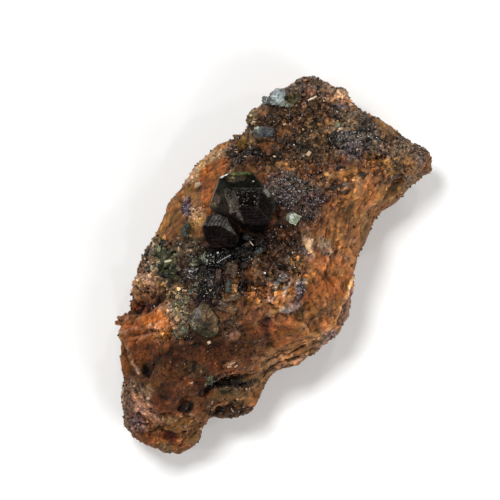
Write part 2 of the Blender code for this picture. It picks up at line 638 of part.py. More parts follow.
def main():
    clear_scene()
    parts = new_collection("vesuvianite with clinochlore")
    cutters = new_collection("cutters")
    matrix = make_rock(parts)
    rock_at = make_surface_probe(matrix)
    grains = add_cutter("grains", grains_bmesh(rock_at), cutters)
    add_boolean(matrix, "UNION", grains, self_crossing=True)
    for name, (finish_name, members) in NODES.items():
        shape = partial(crystal_bmesh, members)
        add_crystal(name, shape, finish_name, matrix, parts, cutters, crossing=len(members) > 1)
    shape = partial(bank_bmesh, rock_at)
    add_crystal("clinochlore_bank", shape, "green_clinochlore", matrix, parts, cutters, crossing=True)


main()
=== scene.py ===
import json
from math import cos, radians, sin

import bmesh
import bpy
import numpy as np
from mathutils import Euler, Matrix, Vector
from mathutils.bvhtree import BVHTree
from mathutils.kdtree import KDTree

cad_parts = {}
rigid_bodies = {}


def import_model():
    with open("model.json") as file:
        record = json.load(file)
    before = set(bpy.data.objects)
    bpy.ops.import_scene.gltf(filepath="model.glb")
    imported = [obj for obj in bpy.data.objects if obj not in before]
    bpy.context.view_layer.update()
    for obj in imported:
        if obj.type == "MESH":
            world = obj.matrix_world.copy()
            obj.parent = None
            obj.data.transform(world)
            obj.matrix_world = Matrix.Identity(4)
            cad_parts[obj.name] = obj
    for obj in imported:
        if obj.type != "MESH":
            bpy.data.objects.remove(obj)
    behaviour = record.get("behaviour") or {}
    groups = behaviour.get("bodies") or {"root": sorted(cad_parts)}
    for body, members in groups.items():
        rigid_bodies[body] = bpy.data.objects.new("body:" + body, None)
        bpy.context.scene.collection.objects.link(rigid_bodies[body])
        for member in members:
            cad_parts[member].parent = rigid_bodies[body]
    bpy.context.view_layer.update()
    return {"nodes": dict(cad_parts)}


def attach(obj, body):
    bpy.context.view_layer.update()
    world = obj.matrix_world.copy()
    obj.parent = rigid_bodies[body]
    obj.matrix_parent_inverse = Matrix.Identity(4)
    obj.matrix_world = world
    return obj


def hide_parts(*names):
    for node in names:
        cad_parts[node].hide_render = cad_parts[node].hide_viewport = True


# Vesuvianite with clinochlore on skarn. All sizes below are in millimetres unless a line says otherwise.
mm = 0.001
mergeDistance = 0.001 * mm
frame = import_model()
sceneCollection = bpy.context.scene.collection

# base colours, linear
tones = {
    "brown": (0.088, 0.043, 0.020),
    "brownOrange": (0.178, 0.073, 0.024),
    "brownGold": (0.259, 0.107, 0.025),
    "darkBrown": (0.030, 0.017, 0.010),
    "nearBlack": (0.013, 0.008, 0.004),
    "darkCrumb": (0.050, 0.023, 0.010),
    "greyBrown": (0.115, 0.074, 0.046),
    "greyBrownDark": (0.061, 0.034, 0.017),
    "greyDark": (0.080, 0.052, 0.037),
    "oliveGrey": (0.125, 0.076, 0.050),
    "oliveBrown": (0.108, 0.050, 0.016),
    "oliveYellow": (0.190, 0.098, 0.026),
    "darkOlive": (0.043, 0.034, 0.009),
    "paleOlive": (0.209, 0.142, 0.064),
    "tanOlive": (0.209, 0.104, 0.033),
    "tanBrown": (0.175, 0.092, 0.038),
    "creamTan": (0.331, 0.183, 0.082),
    "cream": (0.475, 0.328, 0.180),
    "paleGrey": (0.461, 0.334, 0.219),
    "paleVein": (0.403, 0.248, 0.156),
    "palePink": (0.403, 0.216, 0.128),
    "pinkTan": (0.311, 0.176, 0.099),
    "pinkGrey": (0.288, 0.165, 0.095),
    "pinkBrown": (0.209, 0.098, 0.049),
    "purpleGrey": (0.100, 0.068, 0.070),
    "greyPurple": (0.150, 0.098, 0.096),
    "purpleDark": (0.040, 0.024, 0.026),
    "darkPurple": (0.045, 0.018, 0.020),
    "blueGrey": (0.072, 0.057, 0.050),
    "teal": (0.050, 0.054, 0.035),
    "druse": (0.044, 0.029, 0.024),
    "druseDark": (0.028, 0.017, 0.011),
    "druseGrey": (0.080, 0.059, 0.051),
    "speckleGrey": (0.169, 0.119, 0.066),
    "mottleGrey": (0.166, 0.088, 0.052),
    "green": (0.056, 0.055, 0.031),
    "greenDark": (0.022, 0.025, 0.011),
    "paleGreen": (0.110, 0.125, 0.070),
    "rust": (0.265, 0.105, 0.030),
    "rustBright": (0.300, 0.120, 0.034),
    "rustSilk": (0.400, 0.172, 0.058),
    "rustPale": (0.403, 0.185, 0.066),
    "rustTan": (0.290, 0.140, 0.052),
    "rustTanDeep": (0.230, 0.081, 0.023),
    "rustYellow": (0.317, 0.133, 0.025),
    "rustDeep": (0.194, 0.061, 0.015),
    "redBrown": (0.074, 0.024, 0.008),
    "redBrownWarm": (0.144, 0.050, 0.020),
    "redDark": (0.058, 0.016, 0.008),
    "darkRed": (0.054, 0.013, 0.008),
    "stubBrown": (0.045, 0.024, 0.013),
    "stubDark": (0.020, 0.012, 0.009),
    "stubTeal": (0.034, 0.040, 0.034),
    "stubOrange": (0.190, 0.085, 0.026),
    "stubTan": (0.105, 0.064, 0.031),
    "stubGrey": (0.062, 0.046, 0.031),
    "stubOlive": (0.070, 0.066, 0.038),
    "stubPale": (0.070, 0.080, 0.058),
    "strata": (0.195, 0.092, 0.042),
    "footBrown": (0.150, 0.060, 0.022),
    "bulgeOrange": (0.268, 0.089, 0.022),
    "bulgeOlive": (0.185, 0.094, 0.036),
    "veinBlue": (0.400, 0.330, 0.310),
    "edgeOrange": (0.600, 0.320, 0.150),
    "bulgeGold": (0.265, 0.102, 0.031),
    "shoulderRed": (0.230, 0.066, 0.016),
    "wedgeOrange": (0.272, 0.086, 0.018),
    "bankShade": (0.012, 0.012, 0.007),
    "crystalShade": (0.018, 0.010, 0.007),
    "grainCream": (0.265, 0.190, 0.115),
    "flakeDark": (0.022, 0.023, 0.018),
    "needle": (0.400, 0.375, 0.350),
    "edgeTan": (0.300, 0.145, 0.062),
    "rustSilkDeep": (0.330, 0.120, 0.034),
    "knobGold": (0.220, 0.108, 0.044),
    "pinkRim": (0.210, 0.125, 0.090),
    "sideBrown": (0.120, 0.056, 0.022),
    "pitBlack": (0.012, 0.008, 0.006),
    "rustFace": (0.235, 0.080, 0.022),
}

# name, x, y, half length, half width, turn, tone, strength; later ones lie over earlier ones
patches = [
    ("crown brown", 3.8, 22.0, 8.4, 6.9, -35, "brown", 1),
    ("crown grey top", 4.1, 27.1, 3.6, 1.3, 5, "greyBrown", 0.8),
    ("shoulder clump", -4.9, 17.2, 2.7, 2.4, 30, "darkBrown", 0.9),
    ("wing olive grey", 19.1, 16.9, 5.4, 2.4, -32, "oliveGrey", 1),
    ("wing brown edge", 16.9, 20.6, 3.3, 1.3, -35, "tanBrown", 0.9),
    ("wing dark streak", 18.2, 18.8, 1.8, 0.45, -20, "darkBrown", 0.8),
    ("wing grey tip", 22.3, 17.2, 1.5, 0.75, -35, "greyDark", 0.8),
    ("wing grey sparkle", 12.8, 18.7, 3.6, 3.3, -30, "blueGrey", 0.9),
    ("wing purple", 11.9, 17.2, 2.1, 1.2, -20, "purpleGrey", 0.8),
    ("crown grey", 11.6, 22.9, 3.6, 1.8, -35, "greyDark", 0.8),
    ("pink lump", 9.7, 25.6, 2.1, 1.1, -20, "pinkTan", 1),
    ("pink lump edge", 11.5, 24.8, 1.1, 1.1, -45, "pinkTan", 1),
    ("pink low", 11.8, 20.8, 1.1, 0.75, -20, "pinkTan", 0.9),
    ("pink middle", 8.6, 21.5, 1.2, 0.6, 10, "rustTan", 0.8),
    ("purple spot", 10.9, 24.1, 0.9, 0.45, 0, "purpleGrey", 1),
    ("red spot top", 5.9, 26.1, 1.3, 0.6, 10, "pinkBrown", 0.9),
    ("orange lump", -1.6, 23.5, 1.3, 0.9, 10, "rustTan", 1),
    ("lump rim", -3.2, 22.4, 0.6, 1.3, 0, "paleOlive", 1),
    ("left lump", -4.3, 18.5, 1.3, 1.3, 0, "tanOlive", 0.9),
    ("under upper crystal", -1.0, 18.1, 1.3, 0.9, 0, "rust", 1),
    ("crown orange one", 1.7, 19.6, 1.1, 0.9, 0, "rust", 0.6),
    ("crown orange two", -0.1, 14.5, 1.5, 0.9, 20, "rustTan", 0.6),
    ("crown orange three", 2.9, 15.7, 1.5, 0.75, 0, "brownOrange", 0.5),
    ("crown orange four", 4.9, 21.7, 1.3, 0.9, 0, "brownOrange", 0.5),
    ("crown orange five", 7.1, 18.7, 1.5, 1.1, 0, "brownOrange", 0.5),
    ("crown orange six", 14.9, 15.7, 1.8, 0.9, 0, "brownOrange", 0.8),
    ("crown hollow", 3.7, 17.9, 0.9, 0.6, 0, "nearBlack", 1),
    ("crown hollow two", 9.1, 19.1, 0.75, 0.75, 0, "nearBlack", 0.9),
    ("crown hollow three", 0.7, 16.0, 0.6, 0.75, 0, "darkBrown", 0.9),
    ("crown hollow four", -2.3, 16.4, 1.3, 0.75, 0, "darkBrown", 0.9),
    ("dark lump", 3.1, 25.3, 0.75, 0.75, 0, "darkOlive", 1),
    ("red streak", 10.6, 15.2, 1.5, 0.33, -5, "darkRed", 1),
    ("purple streak", 10.3, 14.2, 1.1, 0.45, -10, "purpleGrey", 0.9),
    ("orange patch right", 11.6, 13.6, 1.9, 1.1, 25, "rust", 1),
    ("orange patch middle", 8.0, 12.5, 1.9, 1.1, 25, "rustTan", 0.9),
    ("druse", 3.5, 10.7, 5.4, 3.1, -12, "druse", 1),
    ("druse low", 4.7, 7.9, 2.4, 1.8, 20, "druse", 1),
    ("druse near crystal", 0.1, 11.5, 1.5, 1.8, 0, "druseGrey", 1),
    ("druse purple", 5.9, 9.7, 2.4, 1.1, 0, "purpleDark", 0.9),
    ("druse blue", 2.3, 13.0, 1.8, 0.9, 20, "druseGrey", 0.8),
    ("black blob", 9.5, 11.5, 1.1, 0.75, 0, "nearBlack", 0.9),
    ("black blob right", 13.4, 13.3, 1.1, 0.6, 30, "nearBlack", 0.8),
    ("grey by blob", 11.5, 11.9, 0.75, 0.6, 0, "blueGrey", 0.8),
    ("orange side", 13.1, 10.1, 3.9, 2.5, 22, "rustSilk", 1),
    ("orange side top", 11.9, 11.8, 2.4, 1.0, 25, "edgeTan", 0.7),
    ("orange side deep", 14.2, 10.2, 1.2, 2.2, -30, "rustSilkDeep", 0.9),
    ("orange side low", 11.9, 6.4, 3.3, 3.3, 60, "rustTanDeep", 1),
    ("orange side dark", 11.6, 7.3, 1.3, 1.3, 0, "sideBrown", 0.7),
    ("edge brown", 14.0, 5.8, 0.9, 3, 0, "sideBrown", 0.8),
    ("olive corner", 17.9, 14.6, 1.3, 1.2, 0, "oliveYellow", 0.85),
    ("orange corner", 20.3, 15.7, 1.3, 0.9, -20, "rustTan", 0.9),
    ("wing side", 20.9, 13.0, 3.3, 1.3, 32, "tanOlive", 0.9),
    ("wing side low", 17.9, 10.4, 2.7, 1.2, 32, "tanOlive", 0.8),
    ("wing side brown", 22.9, 14.2, 1.3, 1.1, 50, "sideBrown", 0.8),
    ("orange strip", 8.6, 7.7, 1.3, 1.9, 0, "rust", 1),
    ("orange strip low", 9.7, 4.0, 0.9, 2.7, 8, "rust", 1),
    ("orange near druse", 6.5, 5.0, 1.1, 1.6, 0, "rust", 0.9),
    ("speckled patch", 8.1, 2.3, 0.95, 2.2, 25, "speckleGrey", 1),
    ("brown right", 11.8, 4.0, 1.2, 2.1, 0, "sideBrown", 0.9),
    ("under crystal", 1.4, 1.9, 3.9, 4.2, 0, "darkCrumb", 1),
    ("under crystal orange", 1.7, 4.3, 1.2, 1.2, 0, "brownOrange", 0.7),
    ("under crystal orange two", 3.7, 0.4, 1.2, 1.1, 0, "brownOrange", 0.7),
    ("teal spot", -1.6, 2.5, 0.6, 0.45, 0, "teal", 1),
    ("vein head", 5.3, 3.2, 0.53, 1.3, 38, "paleVein", 1),
    ("vein blue", 5.0, 2.2, 0.45, 0.75, 20, "purpleGrey", 1),
    ("vein low", 6.1, 1.3, 0.6, 0.9, 30, "paleVein", 0.7),
    ("bulge", 8.0, -4.9, 4.2, 6.6, 0, "bulgeOrange", 1),
    ("bulge orange", 8.4, -0.6, 2.4, 1.3, -25, "bulgeGold", 0.9),
    ("bulge middle", 7.4, -6.4, 2.2, 1.9, 30, "bulgeOlive", 0.6),
    ("bulge low edge", 8.2, -9.6, 1.6, 0.9, 50, "bulgeGold", 0.9),
    ("bulge olive", 5.8, -2.2, 1.0, 1.1, 0, "tanOlive", 0.4),
    ("bulge dark", 7.9, -7.0, 1.3, 1.1, 30, "oliveBrown", 0.5),
    ("bulge dark low", 6.5, -9.5, 1.3, 1.2, 0, "oliveBrown", 0.6),
    ("bulge edge", 11.5, -6.4, 0.8, 3.4, -17, "pinkRim", 0.9),
    ("bulge ridge", 10.3, -6.1, 0.21, 3, -17, "rustPale", 0.9),
    ("purple strip", 0.8, -2.8, 1.5, 0.67, 45, "druseGrey", 1),
    ("purple strip two", 4.0, -3.8, 0.6, 1.6, -8, "blueGrey", 1),
    ("vein pale two", 3.1, -6.1, 1.5, 0.6, 12, "paleVein", 0.9),
    ("vein pale three", 4.6, -2.8, 0.3, 0.75, 0, "paleVein", 0.8),
    ("orange between", 1.7, -4.7, 1.3, 1.1, 40, "rustYellow", 1),
    ("gold crumbs", -2.2, -4.0, 2.4, 1.3, 0, "brownOrange", 1),
    ("gold face", 1.7, -5.4, 1.9, 1.6, 20, "bulgeGold", 1),
    ("rust low", 1.7, -9.4, 2.9, 2.4, 0, "rustFace", 1),
    ("rust low left", -0.8, -9.2, 1.1, 1.8, 0, "redDark", 0.9),
    ("below the crumbs", -3.8, -7.4, 2.4, 1.7, 10, "redBrownWarm", 0.9),
    ("beside the rust", -3.4, -11.2, 2.4, 2.8, 0, "redBrown", 0.85),
    ("strata", 3.8, -13.9, 6, 1.8, 25, "strata", 1),
    ("strata left", -0.1, -16.1, 2.1, 1.2, 30, "strata", 1),
    ("rust low deep", 1.6, -10.4, 2.5, 1.3, 10, "rustFace", 0.9),
    ("strata pale", 8.8, -11.1, 2.1, 1.0, 40, "pinkRim", 1),
    ("strata purple", 9.9, -10.6, 1.0, 0.6, 50, "greyPurple", 0.9),
    ("shoulder orange", -9.1, 12.7, 2.2, 3.9, -8, "shoulderRed", 1),
    ("shoulder top", -8.2, 17.3, 2.4, 1.2, 35, "pinkGrey", 0.8),
    ("shoulder top orange", -7.6, 18.1, 1.3, 0.6, 30, "rust", 0.8),
    ("shoulder rim", -11.6, 14.2, 0.9, 2.4, -35, "pinkGrey", 1),
    ("shoulder low", -12.1, 10.7, 1.3, 1.3, 0, "tanOlive", 1),
    ("white blob", -11.2, 12.1, 0.48, 0.39, 0, "paleGrey", 1),
    ("blob shade", -10.9, 11.5, 0.45, 0.3, 0, "darkPurple", 0.8),
    ("silky orange", -15.1, 6.5, 2.5, 3.9, -28, "rustBright", 1),
    ("silky low", -16.9, 3.7, 1.8, 1.3, -30, "rustTan", 0.8),
    ("purple by silk", -13.0, 8.6, 0.75, 1.6, 10, "greyPurple", 1),
    ("white patch", -11.8, 8.2, 0.67, 0.27, -15, "cream", 1),
    ("tan speckle", -11.2, 7.3, 1.3, 1.9, 0, "creamTan", 0.9),
    ("grey brown", -13.0, 2.9, 2.4, 1.2, 0, "greyBrown", 0.9),
    ("olive crystal", -13.0, 5.2, 0.75, 1.1, -10, "darkOlive", 1),
    ("bank shade", -15.9, -0.2, 4.2, 3.0, -35, "bankShade", 1),
    ("bank", -16.9, 1.0, 3, 2.5, -35, "green", 1),
    ("bank low", -15.7, -1.1, 1.9, 1.1, -30, "greenDark", 0.9),
    ("bank left", -18.7, 1.0, 0.9, 1.8, -30, "brown", 0.7),
    ("black crumbs", -8.5, 0.4, 3.9, 2.4, 0, "nearBlack", 1),
    ("under the pair", -4.9, 4.2, 3.6, 3.0, -20, "crystalShade", 1),
    ("beside the small crystal", -3.4, 6.0, 2.0, 1.6, 0, "crystalShade", 1),
    ("spark zone", -12.4, -0.8, 1.9, 2.1, 30, "druseDark", 1),
    ("green crumbs", -10.3, 0.7, 1.3, 0.67, 20, "paleGreen", 1),
    ("dark low", -10.1, -3.4, 2.7, 2.2, 0, "druseDark", 1),
    ("dark near recess", -9.7, -5.8, 1.8, 0.75, 0, "darkPurple", 0.9),
    ("olive leaf", -11.3, -2.8, 0.45, 0.75, -10, "darkOlive", 1),
    ("blocky brown", -6.2, -3.1, 1.5, 3, 0, "brownGold", 1),
    ("blocky dark", -6.7, -2.9, 0.45, 1.1, 0, "teal", 0.8),
    ("blocky rim", -4.7, -3.4, 0.45, 0.75, 0, "nearBlack", 1),
    ("crumbs orange low", -6.7, -7.1, 1.8, 1.3, 0, "rustTan", 0.9),
    ("mid brown", -7.0, -9.2, 2.1, 1.5, 0, "brown", 0.9),
    ("knob", -18.5, -3.4, 2.7, 2.0, 0, "knobGold", 1),
    ("knob top", -19.0, -2.0, 2.1, 0.50, -3, "pinkTan", 1),
    # painted shade in the recess under the knob, in these two patches
    ("recess", -18.9, -6.3, 1.7, 0.75, 28, "darkPurple", 1),
    ("recess low", -20.2, -7.4, 1.0, 0.45, 25, "redDark", 0.8),
    ("left dark flakes", -21.5, -6.8, 0.7, 1.5, 0, "flakeDark", 1),
    ("left dark tip", -22.9, -8.5, 1.2, 0.6, 18, "flakeDark", 1),
    ("pale crumbs", -14.2, -7.0, 1.8, 3, 15, "grainCream", 1),
    ("pale crumbs olive", -13.9, -10.1, 1.3, 1.6, 0, "paleOlive", 0.6),
    ("wedge", -19.4, -10.4, 4.5, 3.4, 18, "wedgeOrange", 1),
    ("wedge low", -19.7, -13.0, 2.4, 1.8, 0, "rustDeep", 0.8),
    ("wedge rim", -23.0, -10.3, 0.6, 0.6, 0, "pinkTan", 0.8),
    ("wedge yellow", -16.9, -12.7, 0.6, 0.45, 0, "oliveYellow", 1),
    ("wedge streaks", -16.6, -10.6, 1.3, 1.3, 0, "rustYellow", 0.7),
    ("left strip", -22.0, -15.1, 1.1, 3, 0, "rustDeep", 0.9),
    ("lower face", -10.0, -14.2, 6.6, 3, 0, "redBrown", 1),
    ("lower face grey", -12.1, -15.8, 2.4, 1.3, 0, "greyBrownDark", 0.9),
    ("lower face olive", -16.9, -15.2, 2.4, 1.3, 0, "oliveBrown", 0.8),
    ("black knobs", -18.5, -16.0, 1.1, 0.75, 0, "pitBlack", 0.9),
    ("lower dark", -6.7, -17.9, 3.9, 1.1, -5, "nearBlack", 1),
    ("lower dark left", -10.3, -18.1, 1.3, 0.9, 0, "darkRed", 0.8),
    ("pale green spot", -9.5, -17.3, 0.6, 0.53, 0, "paleGreen", 0.9),
    ("crevice line", -7.1, -18.8, 3, 0.14, 0, "paleOlive", 0.9),
    ("ledge tan", -7.3, -20.5, 3, 1.1, 8, "tanBrown", 1),
    ("ledge vein", -8.8, -21.2, 1.6, 0.24, 38, "creamTan", 0.9),
    ("ledge vein right", -5.9, -20.5, 1.3, 0.2, 5, "creamTan", 0.9),
    ("ledge green", -6.8, -19.4, 0.9, 0.38, 0, "darkOlive", 0.8),
    ("ledge low", -6.4, -22.3, 3.3, 0.9, 0, "greyBrownDark", 1),
    ("ledge pit", -7.7, -22.0, 0.67, 0.6, 0, "pitBlack", 1),
    ("foot", -16.9, -22.1, 6, 6, 0, "footBrown", 1),
    ("foot face", -15.7, -20.3, 2.5, 2.2, 0, "redBrownWarm", 1),
    ("foot left", -21.8, -20.6, 1.5, 4.2, 0, "mottleGrey", 0.9),
    ("foot ridge", -19.0, -19.1, 1.2, 1.3, -45, "pinkGrey", 0.9),
    ("foot ridge low", -18.4, -22.0, 0.6, 2.2, 48, "palePink", 0.9),
    ("foot ridge left", -20.3, -20.6, 0.45, 1.5, 20, "palePink", 0.8),
    ("foot low left", -20.0, -23.9, 1.5, 1.2, -40, "greyPurple", 0.8),
    ("foot pit", -12.7, -21.5, 0.9, 0.9, 0, "pitBlack", 1),
    ("foot right", -12.4, -25.1, 2.1, 1.9, 60, "tanBrown", 1),
    ("foot yellow", -14.2, -24.1, 1.9, 0.75, 15, "tanOlive", 0.9),
    ("foot maroon", -15.8, -25.6, 1.1, 0.6, 0, "darkRed", 1),
    ("foot grey", -16.4, -27.2, 1.1, 0.75, 0, "speckleGrey", 0.9),
    ("foot low", -18.4, -26.3, 1.5, 1.2, 0, "footBrown", 0.9),
    ("pale dash", -6.1, -14.9, 1.1, 0.4, 18, "pinkBrown", 0.9),
    ("pale crumb right", -5.5, -10.4, 0.6, 0.75, 0, "palePink", 0.7),
]

# broad multipliers over the patches, partly stains and partly painted light and shade: darker under and between the
# crystals and on the lower faces, lighter where glints crowd and on lit faces: name, x, y, half length, half width,
# turn, how much red, green and blue they leave
shadeLightAndStains = [
    ("lower face", -11.6, -15.1, 6.8, 4.2, 0, (0.80, 0.74, 0.66)),
    ("wedge foot", -18.4, -13.2, 4.4, 2.7, 0, (0.58, 0.50, 0.48)),
    ("wedge", -19.9, -9.1, 3.5, 2.2, 0, (1.00, 0.95, 0.95)),
    ("foot", -15.4, -21.1, 6.8, 4.6, 0, (0.72, 0.64, 0.62)),
    ("foot low", -15.4, -26.5, 5.0, 2.6, 0, (1.08, 0.88, 0.62)),
    ("cluster", -8.2, -3.6, 3.8, 5.4, 0, (0.30, 0.26, 0.24)),
    ("under the pair", -6.6, 2.2, 5.0, 3.4, 0, (0.40, 0.33, 0.30)),
    ("right of the pair", -0.6, 6.4, 2.6, 3.2, 0, (0.60, 0.50, 0.46)),
    ("above the pair", -2.8, 15.6, 3.4, 1.9, 0, (0.48, 0.43, 0.38)),
    ("crown left", 5.4, 24.6, 2.0, 1.6, 0, (1.60, 1.60, 1.60)),
    ("left lump", -4.0, 18.6, 1.0, 1.4, 0, (1.25, 1.40, 1.30)),
    ("below the upper crystal", -0.2, 18.4, 2.4, 1.4, 0, (0.66, 0.60, 0.54)),
    ("under the middle leaf", 2.4, 5.6, 1.8, 2.2, 0, (0.62, 0.56, 0.52)),
    ("below the small crystal", -7.4, 0.2, 3.4, 2.6, 0, (0.48, 0.41, 0.38)),
    ("left of the small crystal", -12.3, 5.6, 1.4, 2.6, 0, (0.88, 0.88, 0.90)),
    ("between the pair", -3.4, 3.9, 2.4, 1.5, 0, (0.34, 0.28, 0.25)),
    ("below the coated crystal", -9.6, -11.5, 4.8, 1.6, 0, (0.36, 0.34, 0.33)),
    ("bank foot", -15.4, -2.4, 1.8, 1.2, 0, (0.68, 0.66, 0.68)),
    ("under the knob", -18.4, -5.8, 2.0, 1.2, 15, (0.66, 0.52, 0.46)),
    ("left of the foot", -17.2, -17.6, 3.0, 1.6, 0, (0.62, 0.62, 0.60)),
    ("under the wedge", -15.2, -14.2, 1.8, 1.6, 0, (0.56, 0.55, 0.52)),
    ("bulge top", 7.9, -3.0, 2.2, 3.4, 0, (0.86, 0.78, 0.72)),
    ("below the red face", 0.6, -11.2, 2.6, 1.2, 0, (0.80, 0.74, 0.74)),
    ("left flank", -14.4, 3.6, 2.0, 1.6, 0, (0.46, 0.42, 0.35)),
    ("shoulder", -9.4, 13.6, 2.0, 2.6, 0, (0.84, 0.82, 0.74)),
    ("ledge", -7.8, -20.4, 3.6, 2.4, 0, (0.66, 0.62, 0.60)),
    ("crown", 7.0, 18.4, 3.8, 2.4, 0, (1.42, 1.66, 1.62)),
    ("druse", 4.1, 12.2, 3.2, 2.6, 0, (2.05, 1.88, 1.50)),
    ("druse right", 5.8, 9.9, 2.0, 2.4, 0, (1.85, 1.50, 1.00)),
    ("druse corner", -0.4, 12.8, 1.5, 1.3, 0, (1.15, 1.05, 0.95)),
    ("crown middle", 4.6, 19.9, 3.8, 1.9, 0, (1.20, 1.20, 1.20)),
    ("flank patch", -13.5, 5.9, 1.3, 1.6, 0, (0.72, 0.76, 0.66)),
    ("beside the small crystal", -11.2, 5.4, 1.2, 1.4, 0, (1.80, 1.70, 1.60)),
    ("crumbs right", 0.8, -6.2, 2.6, 2.0, 0, (1.10, 1.25, 1.40)),
    ("bulge edge", 4.6, -1.0, 1.8, 4.6, 0, (1.15, 1.12, 1.12)),
    ("wing grey", 13.1, 17.2, 1.6, 1.4, 0, (1.32, 1.30, 1.25)),
    ("wing right", 15.6, 15.6, 2.4, 1.8, 0, (1.36, 1.32, 1.25)),
    ("lower left", -7.9, -15.8, 1.8, 1.2, 0, (1.40, 1.36, 1.34)),
    ("crumbs low", -10.4, -9.8, 4.0, 1.7, 0, (0.74, 0.72, 0.70)),
    ("below the pair", -4.9, 2.2, 1.6, 1.5, 0, (0.50, 0.47, 0.45)),
    ("wing low", 11.6, 13.2, 4.2, 1.8, 20, (1.44, 1.50, 1.50)),
    ("wing tip", 18.0, 17.0, 3.2, 1.9, -35, (1.50, 1.45, 1.24)),
    ("glints", -12.6, -0.8, 1.8, 3.2, 0, (2.10, 2.30, 2.30)),
    ("bank", -15.6, 1.4, 2.2, 2.2, 0, (1.85, 1.80, 1.75)),
    ("bank rim", -18.6, 0.8, 1.4, 1.8, 0, (1.45, 1.40, 1.40)),
    ("below the block", -1.3, -4.9, 2.2, 2.0, 0, (2.7, 2.2, 1.8)),
    ("right of the block", 1.8, -0.6, 3.2, 2.4, 0, (1.9, 2.0, 2.1)),
    ("dark corner", -0.6, 0.8, 1.6, 1.4, 0, (1.30, 1.15, 1.00)),
    ("pale crumbs", -15.2, -7.6, 1.6, 2.6, 0, (1.20, 1.25, 1.35)),
    ("wedge right", -16.4, -9.4, 1.5, 2.8, 0, (1.75, 1.62, 1.50)),
    ("wedge top", -19.4, -8.2, 3.4, 1.2, 15, (1.20, 1.10, 1.00)),
    ("foot ridge", -18.6, -22.6, 1.6, 1.4, 0, (1.50, 1.42, 1.40)),
    ("foot rim", -20.6, -20.6, 1.2, 4.0, 0, (1.10, 1.08, 1.08)),
    ("foot inner", -15.2, -20.4, 2.4, 2.6, 0, (0.70, 0.68, 0.68)),
    ("strata crest", 5.4, -11.0, 1.8, 1.2, 0, (1.25, 1.20, 1.15)),
    ("strata low", 2.6, -14.4, 2.0, 1.4, 20, (1.30, 1.28, 1.25)),
    ("lower right", -6.2, -17.0, 1.8, 1.6, 0, (1.30, 1.25, 1.20)),
    ("silk", -15.2, 5.9, 3.0, 4.4, -25, (0.90, 0.94, 0.98)),
    ("right face", 8.6, 3.6, 4.0, 5.0, 0, (1.06, 1.06, 1.20)),
    ("right face top", 10.2, 6.8, 1.7, 2.4, 0, (0.82, 0.82, 0.82)),
    ("right edge", 11.8, -0.8, 1.6, 4.4, 0, (1.60, 1.55, 1.45)),
    ("knob", -18.8, -3.4, 2.4, 1.8, 0, (1.14, 1.18, 1.30)),
    ("side", 13.4, 7.6, 2.8, 2.8, 30, (1.42, 1.52, 1.50)),
    ("strata", 2.6, -12.1, 4.4, 2.4, 20, (1.12, 1.10, 1.02)),
    ("upper crust", -4.0, 18.0, 2.0, 3.2, 0, (1.15, 1.20, 1.20)),
    ("shoulder top", -9.4, 15.0, 3.4, 2.2, 45, (1.70, 1.85, 1.80)),
    ("crown right", 11.0, 20.4, 3.8, 2.8, -35, (1.20, 1.22, 1.10)),
    ("lower middle", -11.8, -13.2, 2.4, 1.0, 0, (1.10, 1.15, 1.10)),
    ("foot face", -16.0, -19.5, 1.8, 1.4, 0, (0.70, 0.72, 0.74)),
    ("knob side", -18.9, -4.4, 2.2, 1.4, 0, (0.84, 0.80, 0.80)),
]

